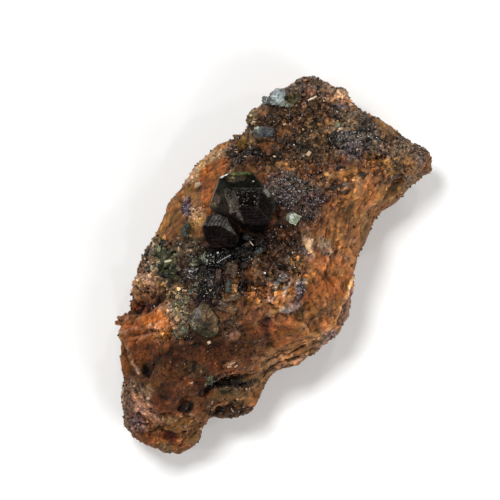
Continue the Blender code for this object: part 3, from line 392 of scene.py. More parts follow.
# how a tone is covered: grains, druse, crumbs, leaves, and how speckled the stone itself is
covers = {
    "brown": (1.0, 0.10, 0.2, 0, 1), "brownOrange": (0.75, 0, 0.6, 0, 1), "brownGold": (0.2, 0, 0.5, 0, 1),
    "darkBrown": (1.0, 0.3, 0.1, 0, 1), "nearBlack": (0.5, 0.7, 0, 0, 1), "darkCrumb": (1.0, 0.3, 0.3, 0, 1),
    "greyBrown": (0.8, 0.3, 0.3, 0, 1), "greyBrownDark": (0.3, 0.15, 0.3, 0, 1),
    "greyDark": (0.9, 0.5, 0.2, 0, 1), "oliveGrey": (0.55, 0.1, 0.3, 0, 1), "oliveYellow": (0.4, 0, 0.4, 0, 1),
    "paleOlive": (0.6, 0, 0.4, 0.1, 1), "creamTan": (0.7, 0, 0.6, 0, 1), "pinkTan": (0.4, 0, 0.4, 0, 1),
    "pinkGrey": (0.1, 0.1, 0.4, 0, 1), "purpleGrey": (0.6, 0.6, 0.1, 0, 1), "greyPurple": (0.3, 0.4, 0.2, 0, 1),
    "purpleDark": (0.5, 1.0, 0, 0, 1), "darkPurple": (0.3, 0.3, 0.1, 0, 1), "blueGrey": (0.7, 0.8, 0, 0, 1),
    "teal": (0.4, 0.4, 0, 0, 1), "druse": (0.5, 1.0, 0.05, 0, 1), "druseDark": (0.6, 1.0, 0, 0, 1),
    "druseGrey": (0.6, 1.0, 0.05, 0, 1), "speckleGrey": (0.3, 0.2, 0.5, 0, 1),
    "mottleGrey": (0.3, 0.15, 0.4, 0, 1), "green": (0.3, 0, 0.2, 1.0, 1), "greenDark": (0.5, 0, 0.1, 0.8, 1),
    "paleGreen": (0.4, 0.1, 0, 0.7, 1), "rustYellow": (0.7, 0, 0.8, 0, 1), "darkOlive": (0.3, 0.1, 0, 0.2, 1),
    "redBrown": (0.1, 0.02, 0.3, 0, 0.8), "bankShade": (0.45, 0.3, 0, 0.8, 1),
    "crystalShade": (0.45, 0.2, 0.1, 0, 1), "grainCream": (0.9, 0, 0.8, 0, 1), "knobGold": (0.25, 0, 0.5, 0, 1),
    "flakeDark": (0.4, 0.3, 0, 0.3, 1), "footBrown": (0.08, 0, 0.6, 0, 0.9),
    "sideBrown": (0.03, 0, 0.12, 0, 0.6), "pitBlack": (0.1, 0.05, 0.1, 0, 0.6),
    "redBrownWarm": (0, 0, 0.15, 0, 0.6), "palePink": (0.1, 0, 0.5, 0, 0.9), "rustDeep": (0.05, 0, 0.4, 0, 0.8),
    "bulgeOrange": (0, 0, 0.06, 0, 0.45), "bulgeOlive": (0, 0, 0.1, 0, 0.5), "bulgeGold": (0, 0, 0.06, 0, 0.6),
    "rustBright": (0, 0, 0.06, 0, 0.45), "rustSilk": (0, 0, 0.06, 0, 0.45),
    "wedgeOrange": (0, 0, 0.06, 0, 0.55), "shoulderRed": (0, 0, 0.1, 0, 0.5), "rustFace": (0, 0, 0.06, 0, 0.5),
    "pinkBrown": (0, 0, 0.2, 0, 0.8), "rustTanDeep": (0, 0, 0.1, 0, 0.4),
}
plainCover = (0.03, 0.0, 0.3, 0, 0.6)

# the crusted parts: x, y, half length, half width, turn
crustAreas = [
    (3.5, 20.5, 9.0, 7.0, -35), (15.0, 16.8, 8.5, 3.6, -33), (4.5, 11.5, 8.0, 6.0, 20),
    (-3.5, 15.5, 4.0, 3.0, 0), (-6.5, 0.0, 9.5, 5.0, 0), (1.0, -1.5, 5.0, 7.0, 0),
    (-16.0, 0.5, 4.5, 3.0, -35), (-13.0, -8.0, 3.0, 4.5, 0),
]

# parts with a crumbly surface: x, y, half length, half width, turn, height
roughAreas = [
    (-18.5, -3.6, 2.8, 2.2, 0, 0.28), (-16.5, -25.5, 6.0, 2.8, 0, 0.30), (-20.6, -20.4, 2.2, 4.0, 0, 0.22),
    (-12.0, -24.5, 2.4, 2.6, 0, 0.24), (-7.0, -21.8, 4.0, 1.6, 0, 0.24), (-9.5, -14.5, 7.0, 3.0, 0, 0.10),
    (-15.0, -15.0, 3.0, 2.0, 0, 0.16), (4.0, -14.0, 6.0, 2.0, 25, 0.12),
]

# where the stone swells outward: x, y, half length, half width, turn, how far
swells = [
    (-15.5, -27.4, 4.8, 2.4, 0, 0.5), (-20.8, -3.6, 1.5, 2.4, 0, 0.6), (23.0, 15.4, 1.6, 2.6, 0, 0.35),
    (-20.0, -25.2, 2.4, 2.0, -40, 0.35),
]

# parts with no glints at all, and where they crowd together: x, y, half length, half width, turn
mattAreas = [(-4.7, 2.6, 2.2, 1.7, 0), (-1.6, 4.6, 2.0, 1.6, 0)]
glintAreas = [
    (-12.2, -0.4, 1.5, 2.8, 0), (-8.6, 0.9, 2.2, 1.2, 0), (-9.9, -2.9, 2.0, 1.8, 0), (4.0, 11.2, 5.2, 3.2, -15),
    (11.5, 19.0, 3.0, 2.0, -30),
]

# fine grooves: x, y, half length, half width, turn of the area, turn of the grooves, spacing, depth
grooves = [
    (-15.1, 6.5, 2.8, 4.2, -28, 42, 0.42, 0.08), (-17.8, -9.8, 4.4, 2.6, 12, 14, 0.50, 0.13),
    (3.8, -13.6, 6.8, 2.3, 25, 25, 0.38, 0.15), (8.0, -4.6, 4.2, 6.6, 0, -58, 0.40, 0.10),
    (13.1, 9.4, 4.4, 3.6, 22, 66, 0.42, 0.11), (9.4, 4.6, 2.6, 4.4, 0, 80, 0.42, 0.11),
    (-19.0, -21.5, 3.5, 2.0, -38, -36, 0.55, 0.16), (-9.2, 12.8, 2.4, 3.6, 0, 12, 0.8, 0.04),
]

# creases and ridges: width, depth (less than 0 stands out), tone, strength, then the points x, y; the dark tones in
# the deep creases are partly painted shade, the pale tones on the ridges partly painted highlight
creases = [
    ("under the knob", 0.7, 0.75, "redDark", 0.95, [(-20.8, -7.6), (-19.6, -6.8), (-18.4, -6.1), (-17.4, -5.5)]),
    ("knob crack", 0.3, 0.4, "darkCrumb", 0.9, [(-20.3, -4.2), (-19.2, -4.0), (-18.3, -4.5), (-17.2, -4.1)]),
    ("knob crack two", 0.26, 0.35, "darkCrumb", 0.8, [(-20.6, -3.2), (-19.8, -5.0), (-19.7, -5.9)]),
    ("foot streak", 0.17, -0.18, "paleVein", 0.85, [(-20.4, -17.8), (-19.9, -19.0), (-19.1, -20.2)]),
    ("foot streak low", 0.17, -0.18, "paleVein", 0.8,
     [(-21.0, -19.4), (-20.2, -21.0), (-19.0, -22.0), (-17.6, -22.9)]),
    ("foot streak short", 0.14, -0.15, "paleVein", 0.8, [(-19.6, -18.0), (-18.9, -18.9), (-18.4, -20.0)]),
    ("foot fibre", 0.12, -0.15, "cream", 0.8, [(-13.1, -20.9), (-12.7, -22.0), (-12.2, -22.9)]),
    ("foot band", 0.3, -0.2, "paleOlive", 0.7, [(-17.0, -23.9), (-15.0, -23.4), (-13.2, -22.8)]),
    ("wedge streak", 0.18, -0.12, "palePink", 0.9, [(-22.6, -10.6), (-20.4, -9.9), (-18.0, -9.0), (-16.6, -8.2)]),
    ("wedge streak low", 0.16, -0.12, "palePink", 0.9, [(-20.6, -11.2), (-18.6, -10.7), (-16.4, -10.4)]),
    ("wedge streak right", 0.15, -0.12, "palePink", 0.9, [(-18.6, -9.7), (-17.0, -9.4), (-15.4, -9.2)]),
    ("wedge streak lowest", 0.15, -0.12, "pinkTan", 0.9, [(-18.4, -11.6), (-16.8, -11.6), (-15.4, -11.9)]),
    ("wedge groove right", 0.13, 0.14, "redBrown", 0.8, [(-18.8, -10.2), (-17.0, -9.9), (-15.4, -9.7)]),
    ("wedge tip", 0.4, -0.1, "cream", 0.8, [(-23.6, -10.0), (-23.5, -10.8), (-23.0, -11.4)]),
    ("wedge streak short", 0.13, 0.14, "redBrown", 0.7, [(-19.6, -12.0), (-17.8, -11.4), (-16.2, -10.9)]),
    ("wedge gully", 0.16, 0.16, "redBrown", 0.7, [(-22.2, -11.3), (-20.2, -10.6), (-18.2, -9.9)]),
    ("beside the wedge", 0.5, 0.35, "darkBrown", 0.75,
     [(-15.7, -8), (-15.5, -9.8), (-14.9, -11.5), (-15.7, -13.1), (-17.2, -14.2), (-18.4, -15.2), (-19.3, -15.8)]),
    ("wedge edge", 0.42, -0.3, "pinkTan", 0.75,
     [(-23.9, -10.3), (-22.9, -9.1), (-21.4, -8.2), (-19.9, -7.6), (-18.4, -7), (-17, -6.1), (-16, -5.5)]),
    ("knob lip", 0.35, -0.28, "creamTan", 0.7, [(-21.2, -2.8), (-19.9, -2.2), (-18.4, -2.6), (-16, -2.9)]),
    ("flank ridge", 0.28, -0.3, "paleVein", 0.8, [(-21.8, -12.5), (-20.9, -14.5), (-19.9, -16.3)]),
    ("flank gully", 0.45, 0.3, "redBrown", 0.7, [(-22.7, -12.1), (-22, -14.3), (-20.9, -16.6)]),
    ("foot ridge", 0.35, -0.35, "paleVein", 0.7, [(-20.6, -20.2), (-19.9, -21.4), (-18.7, -22.4), (-17, -23.3)]),
    ("foot ridge two", 0.3, -0.25, "paleVein", 0.6, [(-18.5, -17.9), (-18.2, -19.6), (-18.4, -20.9)]),
    ("crevice", 0.5, 0.75, "nearBlack", 1,
     [(-10.4, -19.4), (-9.2, -18.2), (-7.6, -17.2), (-6.1, -16.9), (-4.1, -17)]),
    ("crevice low", 0.35, 0.4, "nearBlack", 0.85, [(-8.8, -18.1), (-6.7, -18.4), (-4.3, -18.1)]),
    ("grey strip", 0.22, -0.2, "oliveGrey", 0.85, [(-9.1, -18.7), (-7, -19), (-4.4, -19)]),
    ("ledge edge", 0.28, -0.35, "rustPale", 0.75,
     [(-10, -23.5), (-9.1, -22.1), (-8, -20.9), (-6.7, -20.5), (-4.4, -20.3)]),
    ("under the ledge edge", 0.5, 0.35, "darkBrown", 0.7,
     [(-9.4, -23.3), (-8.3, -22), (-7, -21.2), (-4.9, -21.2)]),
    ("bulge edge", 0.2, -0.3, "edgeOrange", 1,
     [(11.9, -1.7), (11.5, -3.7), (10.3, -5.8), (9.7, -7.6), (9.2, -9.1), (8.2, -10.5)]),
    ("pale strip", 0.42, -0.2, "veinBlue", 0.9, [(1.5, -7.0), (2.7, -6.3), (4.3, -5.1)]),
    ("pale strip upright", 0.30, -0.15, "veinBlue", 0.8, [(3.7, -2.3), (3.8, -3.4), (3.6, -4.4)]),
    ("pale strip left", 0.26, -0.1, "veinBlue", 0.8, [(-0.6, -5.0), (0.1, -4.2), (0.6, -3.4)]),
    ("pale strip inner", 0.18, -0.1, "veinBlue", 0.8, [(2.5, -2.4), (2.1, -3.4), (1.2, -4.6)]),
    ("dark beside the strip", 0.3, 0.2, "purpleDark", 0.9, [(4.2, -2.3), (4.2, -3.5), (3.9, -4.8)]),
    ("pale strip rim", 0.22, -0.12, "veinBlue", 0.6, [(-0.6, -4.4), (0.4, -3.0), (1.8, -1.9)]),
    ("purple beside the strip", 0.35, 0.2, "purpleGrey", 0.8, [(-0.9, -3.6), (0.2, -2.3), (1.6, -1.2)]),
    ("outside the bulge edge", 0.5, 0.3, "rustTanDeep", 0.6, [(11.9, -4.7), (11, -6.5), (10.3, -8.6)]),
    ("bulge corner", 0.3, -0.3, "creamTan", 0.55, [(3.8, -8.6), (5.2, -9.7), (7, -10.9), (8, -11.6)]),
    ("strata one", 0.22, 0.28, "darkBrown", 0.8,
     [(-1.4, -16.1), (0.4, -15.1), (2.6, -14.2), (5.3, -13.1), (7.7, -12.4)]),
    ("strata two", 0.2, 0.24, "redBrown", 0.8, [(-1.1, -14.8), (0.8, -13.9), (2.9, -13), (5, -12.2)]),
    ("strata three", 0.2, 0.24, "darkBrown", 0.8, [(-1.6, -17.2), (-0.4, -16), (1.4, -15.4), (3.5, -14.5)]),
    ("strata crest", 0.2, -0.2, "tanBrown", 0.8, [(-1.3, -15.5), (0.8, -14.5), (3.2, -13.6), (5.9, -12.7)]),
    ("red face edge", 0.3, -0.3, "creamTan", 0.5, [(-0.7, -7.4), (0.5, -7.1), (2, -6.5), (3.8, -5.6)]),
    ("under the red face", 0.5, 0.25, "redDark", 0.6, [(-1, -8), (-1, -9.8), (-0.4, -12.1), (1.1, -13.1)]),
    ("crust step", 0.4, 0.35, "nearBlack", 0.7, [(-4.4, -2.8), (-3.4, -2.5), (-1.6, -2.8), (-0.4, -2.3)]),
    ("beside the block", 0.5, 0.6, "nearBlack", 0.95, [(-4.6, -2.9), (-4.4, -4.7), (-4, -6.1)]),
    ("shoulder step", 0.45, 0.3, "greyPurple", 0.7, [(-12.8, 10.3), (-12.7, 8.8), (-13, 7.3), (-13.4, 6.1)]),
    ("shoulder edge", 0.3, -0.25, "rustTan", 0.5, [(-14.2, 10.3), (-15.4, 9.1), (-16, 7.9)]),
    ("silk step", 0.3, 0.12, "redBrownWarm", 0.5, [(7.4, 8.9), (9.2, 10), (11, 10.9), (12.5, 12.1)]),
    ("wing step", 0.4, 0.3, "darkBrown", 0.6, [(14.9, 12.5), (15.8, 13.9), (17.9, 14.8), (19.7, 16)]),
    ("pale flake edge", 0.3, -0.3, "cream", 0.8, [(4.6, 3.8), (5.5, 2.6), (6.2, 1.3)]),
    ("blue beside the flake", 0.3, 0.15, "purpleGrey", 0.9, [(4.3, 2.9), (5, 1.9), (5.3, 1)]),
    ("coated crevice", 0.35, 0.6, "nearBlack", 1, [(-12.4, -9.1), (-12.2, -10), (-12.5, -10.9)]),
    ("pit wall", 0.4, 0.7, "nearBlack", 0.9, [(-13.7, -21.5), (-13.1, -20.8), (-12.4, -21.4), (-12.7, -22.1)]),
    ("small pit", 0.45, 0.7, "nearBlack", 0.95, [(-19.3, -15.7), (-18.8, -16)]),
]


def hashCorners(cells, seed):  # a fixed value from 0 to 1 for each cell of a grid
    mixed = cells[:, 0] * 73856093 ^ cells[:, 1] * 19349663 ^ cells[:, 2] * 83492791 ^ seed * 7919
    mixed = ((mixed ^ (mixed >> 15)) & 0xffffffff) * 1274126177 & 0xffffffff
    mixed = ((mixed ^ (mixed >> 13)) & 0xffffffff) * 1103515245 & 0xffffffff
    return ((mixed ^ (mixed >> 16)) & 0xffffff) / 0xffffff


def softNoise(points, size, seed):  # smooth noise from -1 to 1 with lumps about size wide
    place = points / size + seed * 3.7
    cell = np.floor(place).astype(np.int64)
    share = place - cell
    share = share * share * (3 - 2 * share)
    total = np.zeros(len(points))
    for corner in range(8):
        step = np.array([corner & 1, corner >> 1 & 1, corner >> 2])
        weight = np.prod(np.where(step, share, 1 - share), axis=1)
        total += weight * hashCorners(cell + step, seed)
    return total * 2 - 1


def layeredNoise(points, size, seed, layers=3, fall=0.55):  # each layer is half as wide as the one before
    total = np.zeros(len(points))
    for layer in range(layers):
        total += fall ** layer * softNoise(points, size / 2 ** layer, seed + layer)
    return total


def cellNoise(points, size, seed):  # distance to the nearest and next centre, and two values per cell
    place = points / size
    home = np.floor(place).astype(np.int64)
    near = np.full(len(points), 9.0)
    second = near.copy()
    offset = np.zeros((len(points), 3))
    value = np.zeros((len(points), 3))
    for corner in range(27):
        cell = home + np.array([corner % 3 - 1, corner // 3 % 3 - 1, corner // 9 - 1])
        random = np.stack([hashCorners(cell, seed + axis) for axis in range(3)], axis=1)
        away = place - cell - random
        distance = np.linalg.norm(away, axis=1)
        closer = distance < near
        second = np.where(closer, near, np.minimum(second, distance))
        near = np.where(closer, distance, near)
        offset[closer] = away[closer]
        value[closer] = random[closer]
    return near, second, offset, value


def areaShare(points, x, y, halfLength, halfWidth, turn, edge=0.3):  # 1 inside an oval area, 0 outside it
    dx = points[:, 0] - x
    dy = points[:, 1] - y
    c, s = cos(radians(turn)), sin(radians(turn))
    reach = np.sqrt(((dx * c + dy * s) / halfLength) ** 2 + ((dy * c - dx * s) / halfWidth) ** 2)
    return np.clip((1 + edge - reach) / (2 * edge), 0, 1)


def creaseShare(points, route, width):  # 1 on the crease, falling to 0 beside it
    nearest = np.full(len(points), 9.0)
    for start, end in zip(route, route[1:]):
        start, end = np.array(start), np.array(end)
        run = end - start
        along = np.clip((points[:, :2] - start) @ run / (run @ run), 0, 1)
        nearest = np.minimum(nearest, np.linalg.norm(points[:, :2] - start - along[:, None] * run, axis=1))
    return np.exp(-((nearest / width) ** 2))


def layOver(values, other, share):  # values turn into the other ones where share is 1
    values += (np.array(other) - values) * share[:, None]


def acrossLines(points, run):  # the distance across lines that run at this angle
    return points[:, 1] * cos(radians(run)) - points[:, 0] * sin(radians(run))


def meshFrom(bm, name):
    mesh = bpy.data.meshes.new(name)
    bm.to_mesh(mesh)
    bm.free()
    return mesh


def surfaceTree(mesh):  # for finding the nearest face, in millimetres
    points = [vert.co / mm for vert in mesh.vertices]
    return BVHTree.FromPolygons(points, [face.vertices[:] for face in mesh.polygons])


def cleanCopy(mesh):  # a merged copy of a mesh of loose triangles
    bm = bmesh.new()
    bm.from_mesh(mesh)
    bmesh.ops.remove_doubles(bm, verts=bm.verts, dist=mergeDistance)
    return meshFrom(bm, mesh.name + "Copy")


def applied(item):  # the object's mesh with its modifiers, as plain data
    graph = bpy.context.evaluated_depsgraph_get()
    return bpy.data.meshes.new_from_object(item.evaluated_get(graph))


def remeshed(mesh, grid, smoothing):  # an even skin over a solid, grid in millimetres
    carrier = bpy.data.objects.new("carrier", mesh)
    sceneCollection.objects.link(carrier)
    skin = carrier.modifiers.new("skin", "REMESH")
    skin.mode = "VOXEL"
    skin.voxel_size = grid * mm
    if smoothing:
        melt = carrier.modifiers.new("melt", "SMOOTH")
        melt.factor = 0.5
        melt.iterations = smoothing
    result = applied(carrier)
    bpy.data.objects.remove(carrier)
    return result


def placesOf(mesh):  # in millimetres
    places = np.empty(len(mesh.vertices) * 3)
    mesh.vertices.foreach_get("co", places)
    return places.reshape(-1, 3) / mm


def normalsOf(mesh):
    normals = np.empty(len(mesh.vertices) * 3, dtype=np.float32)
    mesh.vertex_normals.foreach_get("vector", normals)
    return normals.reshape(-1, 3).astype(float)


def setPlaces(mesh, places):
    mesh.vertices.foreach_set("co", (places * mm).ravel())
    mesh.update()


def neighbourMean(mesh, values, rounds):  # values averaged over neighbours along the edges
    ends = np.empty(len(mesh.edges) * 2, dtype=np.int64)
    mesh.edges.foreach_get("vertices", ends)
    first, last = ends[0::2], ends[1::2]
    count = len(mesh.vertices)
    degree = np.bincount(first, minlength=count) + np.bincount(last, minlength=count)
    for _ in range(rounds):
        columns = []
        for axis in range(values.shape[1]):
            there = np.bincount(first, values[last, axis], count)
            back = np.bincount(last, values[first, axis], count)
            columns.append((there + back) / degree)
        values = np.stack(columns, axis=1)
    return values


def hollowness(mesh, places, normals, rounds):  # above 0 in hollows, below 0 on humps
    return np.sum((neighbourMean(mesh, places, rounds) - places) * normals, axis=1)


def storeValue(mesh, name, values):
    mesh.attributes.new(name, "FLOAT", "POINT").data.foreach_set("value", values.astype(np.float32))


def storeTint(mesh, colours):
    opaque = np.concatenate([np.clip(colours, 0.0, 1.0), np.ones((len(colours), 1))], axis=1)
    mesh.attributes.new("tint", "FLOAT_COLOR", "POINT").data.foreach_set("color", opaque.astype(np.float32).ravel())


def finishPiece(name, mesh, material, nodes=(), smooth=True):
    mesh.name = name
    mesh.materials.clear()
    mesh.materials.append(material)
    mesh.polygons.foreach_set("use_smooth", [smooth] * len(mesh.polygons))
    piece = bpy.data.objects.new(name, mesh)
    sceneCollection.objects.link(piece)
    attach(piece, "root")
    if nodes:
        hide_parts(*nodes)
    print(name, "has", sum(len(face.vertices) - 2 for face in mesh.polygons), "triangles")
    return piece


# materials
def addNode(tree, kind, inputs, **settings):  # a node with its settings, and its inputs linked or set
    node = tree.nodes.new(kind)
    for name, value in settings.items():
        setattr(node, name, value)
    for name, value in inputs.items():
        if isinstance(value, bpy.types.NodeSocket):
            tree.links.new(value, node.inputs[name])
        else:
            node.inputs[name].default_value = value
    return node


def mathNode(tree, operation, first, second):
    return addNode(tree, "ShaderNodeMath", {0: first, 1: second}, operation=operation).outputs[0]


def scaleNode(tree, vector, factor):
    inputs = {"Vector": vector, "Scale": factor}
    return addNode(tree, "ShaderNodeVectorMath", inputs, operation="SCALE").outputs["Vector"]


def mixNode(tree, share, base, colour):  # the base turns into one colour where share is 1
    return addNode(tree, "ShaderNodeMix", {0: share, 6: base, 7: (*colour, 1)}, data_type="RGBA").outputs[2]


def rangeNode(tree, value, fromLow, fromHigh, toLow, toHigh):
    inputs = {"Value": value, "From Min": fromLow, "From Max": fromHigh, "To Min": toLow, "To Max": toHigh}
    return addNode(tree, "ShaderNodeMapRange", inputs).outputs["Result"]


def valueNode(tree, name, output="Fac"):  # a value stored on the mesh
    return addNode(tree, "ShaderNodeAttribute", {}, attribute_name=name).outputs[output]


def ownPlace(tree):  # the piece's own coordinates
    node = tree.nodes.get("Texture Coordinate") or tree.nodes.new("ShaderNodeTexCoord")
    return node.outputs["Object"]


def noiseNode(tree, size, detail, roughness):  # size of the lumps in millimetres
    inputs = {"Vector": ownPlace(tree), "Scale": 1 / (size * mm), "Detail": detail, "Roughness": roughness}
    return addNode(tree, "ShaderNodeTexNoise", inputs).outputs["Fac"]


def cellNode(tree, size):  # one random value from 0 to 1 for each small cell
    cells = addNode(tree, "ShaderNodeTexVoronoi", {"Vector": ownPlace(tree), "Scale": 1 / (size * mm)})
    return addNode(tree, "ShaderNodeSeparateColor", {"Color": cells.outputs["Color"]}).outputs["Red"]


# from and to which cell value a cell turns into a pale fleck, a dark one, a pale grain or a sparkle; the sparkle is
# a painted glint
cellSteps = {"fleck": (0.88, 0.93), "dark": (0.07, 0.10), "pale": (0.93, 0.97), "sparkle": (1.10, 1.24)}


def speckleNode(tree, look):  # fine light and dark grains; the pale flecks are partly painted glints
    size, dark, pale, fleck = look["speckle"]
    cell = cellNode(tree, size)
    fine = rangeNode(tree, noiseNode(tree, size, 1.0, 0.5), 0.35, 0.65, dark, pale)
    fine = mathNode(tree, "MULTIPLY", fine, rangeNode(tree, cell, *cellSteps["fleck"], 1, fleck))
    fine = mathNode(tree, "MULTIPLY", fine, rangeNode(tree, cell, *cellSteps["dark"], 0.45, 1))
    if "pale" in look:  # smooth stone shows less of it
        less = mathNode(tree, "MULTIPLY", mathNode(tree, "SUBTRACT", fine, 1.0), valueNode(tree, "speckled"))
        fine = mathNode(tree, "ADD", less, 1.0)
    return fine


def makeStone(name, look):  # a mineral surface: tint, mottling, uneven gloss and fine grit
    material = bpy.data.materials.new(name)
    material.use_nodes = True
    tree = material.node_tree
    shader = tree.nodes["Principled BSDF"]
    mottle = rangeNode(tree, noiseNode(tree, look["mottleSize"], 4.0, 0.65), 0.3, 0.7, *look["mottle"])
    if "speckle" in look:
        mottle = mathNode(tree, "MULTIPLY", mottle, speckleNode(tree, look))
    if "toned" in look:  # darkest and palest grain
        uneven = mathNode(tree, "POWER", valueNode(tree, "tone"), 2.0)
        mottle = mathNode(tree, "MULTIPLY", mottle, rangeNode(tree, uneven, 0, 1, *look["toned"]))
    tint = look["own"] if "own" in look else valueNode(tree, "tint", "Color")
    base = scaleNode(tree, tint, mottle)
    if "pale" in look:  # scattered pale grains in the stone itself, partly painted glints, fewer where it is dark
        most, size, colour = look["pale"]
        grey = addNode(tree, "ShaderNodeRGBToBW", {"Color": tint}).outputs["Val"]
        share = rangeNode(tree, cellNode(tree, size), *cellSteps["pale"], 0, most)
        share = mathNode(tree, "MULTIPLY", share, valueNode(tree, "speckled"))
        share = mathNode(tree, "MULTIPLY", share, rangeNode(tree, grey, 0.01, 0.12, 0.1, 1))
        base = mixNode(tree, share, base, colour)
    if "sparkle" in look:  # painted glints: pale spots in the base colour where glints crowd
        size, gather, colour = look["sparkle"]
        crowd = mathNode(tree, "MULTIPLY", valueNode(tree, "glintShare"), gather)
        crowd = mathNode(tree, "ADD", cellNode(tree, size), crowd)
        base = mixNode(tree, rangeNode(tree, crowd, *cellSteps["sparkle"], 0, 1), base, colour)
    tree.links.new(base, shader.inputs["Base Color"])
    gloss = rangeNode(tree, noiseNode(tree, look["glossSize"], 3.0, 0.6), 0.32, 0.68, *look["roughness"])
    if "dulled" in look:
        gloss = mathNode(tree, "ADD", gloss, mathNode(tree, "MULTIPLY", valueNode(tree, "dull"), look["dulled"]))
    tree.links.new(gloss, shader.inputs["Roughness"])
    shader.inputs["IOR"].default_value = look["ior"]
    shader.inputs["Specular IOR Level"].default_value = look.get("specular", 0.5)
    shader.inputs["Transmission Weight"].default_value = look.get("clear", 0.0)
    previous = None
    for size, height in look["grit"]:  # each grit lies over the one before
        inputs = {"Strength": 1.0, "Distance": height * mm, "Height": noiseNode(tree, size, 2.0, 0.55)}
        if previous:
            inputs["Normal"] = previous
        previous = addNode(tree, "ShaderNodeBump", inputs).outputs["Normal"]
    tree.links.new(previous, shader.inputs["Normal"])
    return material


# mottle, roughness and toned go from the lowest to the highest value; sizes and heights are in millimetres
# speckle: size, darkest, palest, fleck; pale: most of it, size, colour; sparkle (painted glints): size, how far it
# gathers, colour
stoneLooks = {
    "rustySkarn": {
        "mottleSize": 1.0, "mottle": (0.75, 1.25), "glossSize": 0.5, "roughness": (0.22, 0.5), "ior": 1.5,
        "dulled": 0.4, "speckle": (0.26, 0.62, 1.4, 1.5), "pale": (0.3, 0.22, (0.36, 0.27, 0.20)),
        "specular": 0.13, "grit": [(0.45, 0.06), (0.18, 0.05)],
    },
    "garnetGrain": {
        "mottleSize": 0.5, "mottle": (0.7, 1.3), "glossSize": 0.5, "roughness": (0.12, 0.32), "ior": 1.65,
        "toned": (0.15, 2.5), "sparkle": (0.20, 0.25, (0.60, 0.59, 0.60)), "specular": 0.2, "grit": [(0.3, 0.02)],
    },
    "darkDruse": {
        "mottleSize": 0.4, "mottle": (0.6, 1.4), "glossSize": 0.4, "roughness": (0.10, 0.28), "ior": 1.7,
        "toned": (0.06, 3.4), "sparkle": (0.20, 0.22, (0.48, 0.48, 0.52)), "specular": 0.36, "grit": [(0.25, 0.01)],
    },
    # pale grains whose pale base colour partly paints glints
    "glint": {
        "mottleSize": 0.4, "mottle": (0.7, 1.3), "glossSize": 0.4, "roughness": (0.08, 0.25), "ior": 1.6,
        "own": (0.20, 0.190, 0.188), "toned": (0.0, 4.4), "specular": 0.6, "grit": [(0.25, 0.01)],
    },
    "rustCrumb": {
        "mottleSize": 0.5, "mottle": (0.7, 1.3), "glossSize": 0.5, "roughness": (0.55, 0.9), "ior": 1.5,
        "toned": (0.75, 2.0), "specular": 0.12, "grit": [(0.2, 0.03)],
    },
    "blackVesuvianite": {
        "mottleSize": 1.2, "mottle": (0.6, 1.4), "glossSize": 0.9, "roughness": (0.08, 0.20), "ior": 1.71,
        "dulled": 0.25, "specular": 0.030, "speckle": (0.22, 0.6, 1.4, 2.2),
        "sparkle": (0.16, 0.17, (0.32, 0.30, 0.26)), "grit": [(0.35, 0.012)],
    },
    "coatedVesuvianite": {
        "mottleSize": 0.6, "mottle": (0.6, 1.4), "glossSize": 0.6, "roughness": (0.4, 0.75), "ior": 1.6,
        "speckle": (0.24, 0.65, 1.35, 1.5), "specular": 0.08, "grit": [(0.35, 0.03), (0.15, 0.015)],
    },
    "greyVesuvianite": {
        "mottleSize": 0.7, "mottle": (0.7, 1.3), "glossSize": 0.7, "roughness": (0.3, 0.6), "ior": 1.68,
        "speckle": (0.24, 0.6, 1.4, 1.8), "specular": 0.25, "grit": [(0.3, 0.02)],
    },
    "greenClinochlore": {
        "mottleSize": 0.5, "mottle": (0.65, 1.35), "glossSize": 0.5, "roughness": (0.25, 0.6), "ior": 1.58,
        "toned": (0.12, 6.0), "sparkle": (0.20, 0.24, (0.50, 0.54, 0.46)), "specular": 0.22, "grit": [(0.25, 0.02)],
    },
    "stubby": {
        "mottleSize": 0.5, "mottle": (0.6, 1.4), "glossSize": 0.5, "roughness": (0.25, 0.6), "ior": 1.65,
        "speckle": (0.22, 0.4, 1.7, 2.4), "specular": 0.14, "grit": [(0.3, 0.03)],
    },
    "paleClinochlore": {
        "mottleSize": 0.8, "mottle": (0.8, 1.15), "glossSize": 0.8, "roughness": (0.12, 0.35), "ior": 1.58,
        "clear": 0.3, "grit": [(0.5, 0.03)],
    },
    "paleFleck": {
        "mottleSize": 0.5, "mottle": (0.8, 1.2), "glossSize": 0.5, "roughness": (0.15, 0.4), "ior": 1.58,
        "grit": [(0.3, 0.01)],
    },
}
stones = {name: makeStone(name, look) for name, look in stoneLooks.items()}
print("materials ready")


# the rock
rock = {
    "grid": 0.29,  # distance between the points of the skin
    "smoothing": 2,
    "swell": (3.4, 0.10),  # size and height of each kind of relief
    "crustLump": (1.25, 0.46),
    "crustGrit": (0.55, 0.22),
    "chip": (3.6, 0.24),
    "ridge": (1.7, 0.06),
    "brokenGrit": (0.45, 0.045),
    "crumblySize": 0.6,
    "pullIn": 0.8,  # rock this near a crystal closes up to it
    "pastTheFace": 0.15,  # and goes this far into it
    "lowestSocket": 6,
    "crustFrom": 7,  # no crust lower than this
    "flatFoot": 0.8,  # the relief fades out this near the flat face
    "sideTones": ("rustDeep", "tanBrown", "brown"),
    "sideDark": 0.7,
    "sideSizes": (4.5, 1.6),
    "wander": (2.2, 0.45),  # how the edges of the patches stray: size and how far
    "patchGrain": 0.7,
    "creaseGap": 0.9,  # size of the breaks in the creases
    "mottle": (1.9, 0.3),  # size and strength of broad light and dark
    "hollowShade": (5.5, 1.6, 0.22),  # painted shade by the depth of fine and wide hollows, and the darkest it gets
    # painted light on humps: how strongly, and the most it adds
    "humpLight": (3.0, 0.35),
    "speck": 0.5,
    "paleSpeck": (0.93, 1.7),  # above this cell value, and how pale: pale specks, partly painted glints
    "darkSpeck": (0.07, 0.5),
    "warmth": (1.1, 0.5),  # size and strength of warm and cold, and of purple and green
    "purple": (1.6, 0.5),
    "glints": (0.22, 0.42),  # anywhere on the crust, and more on druse
}


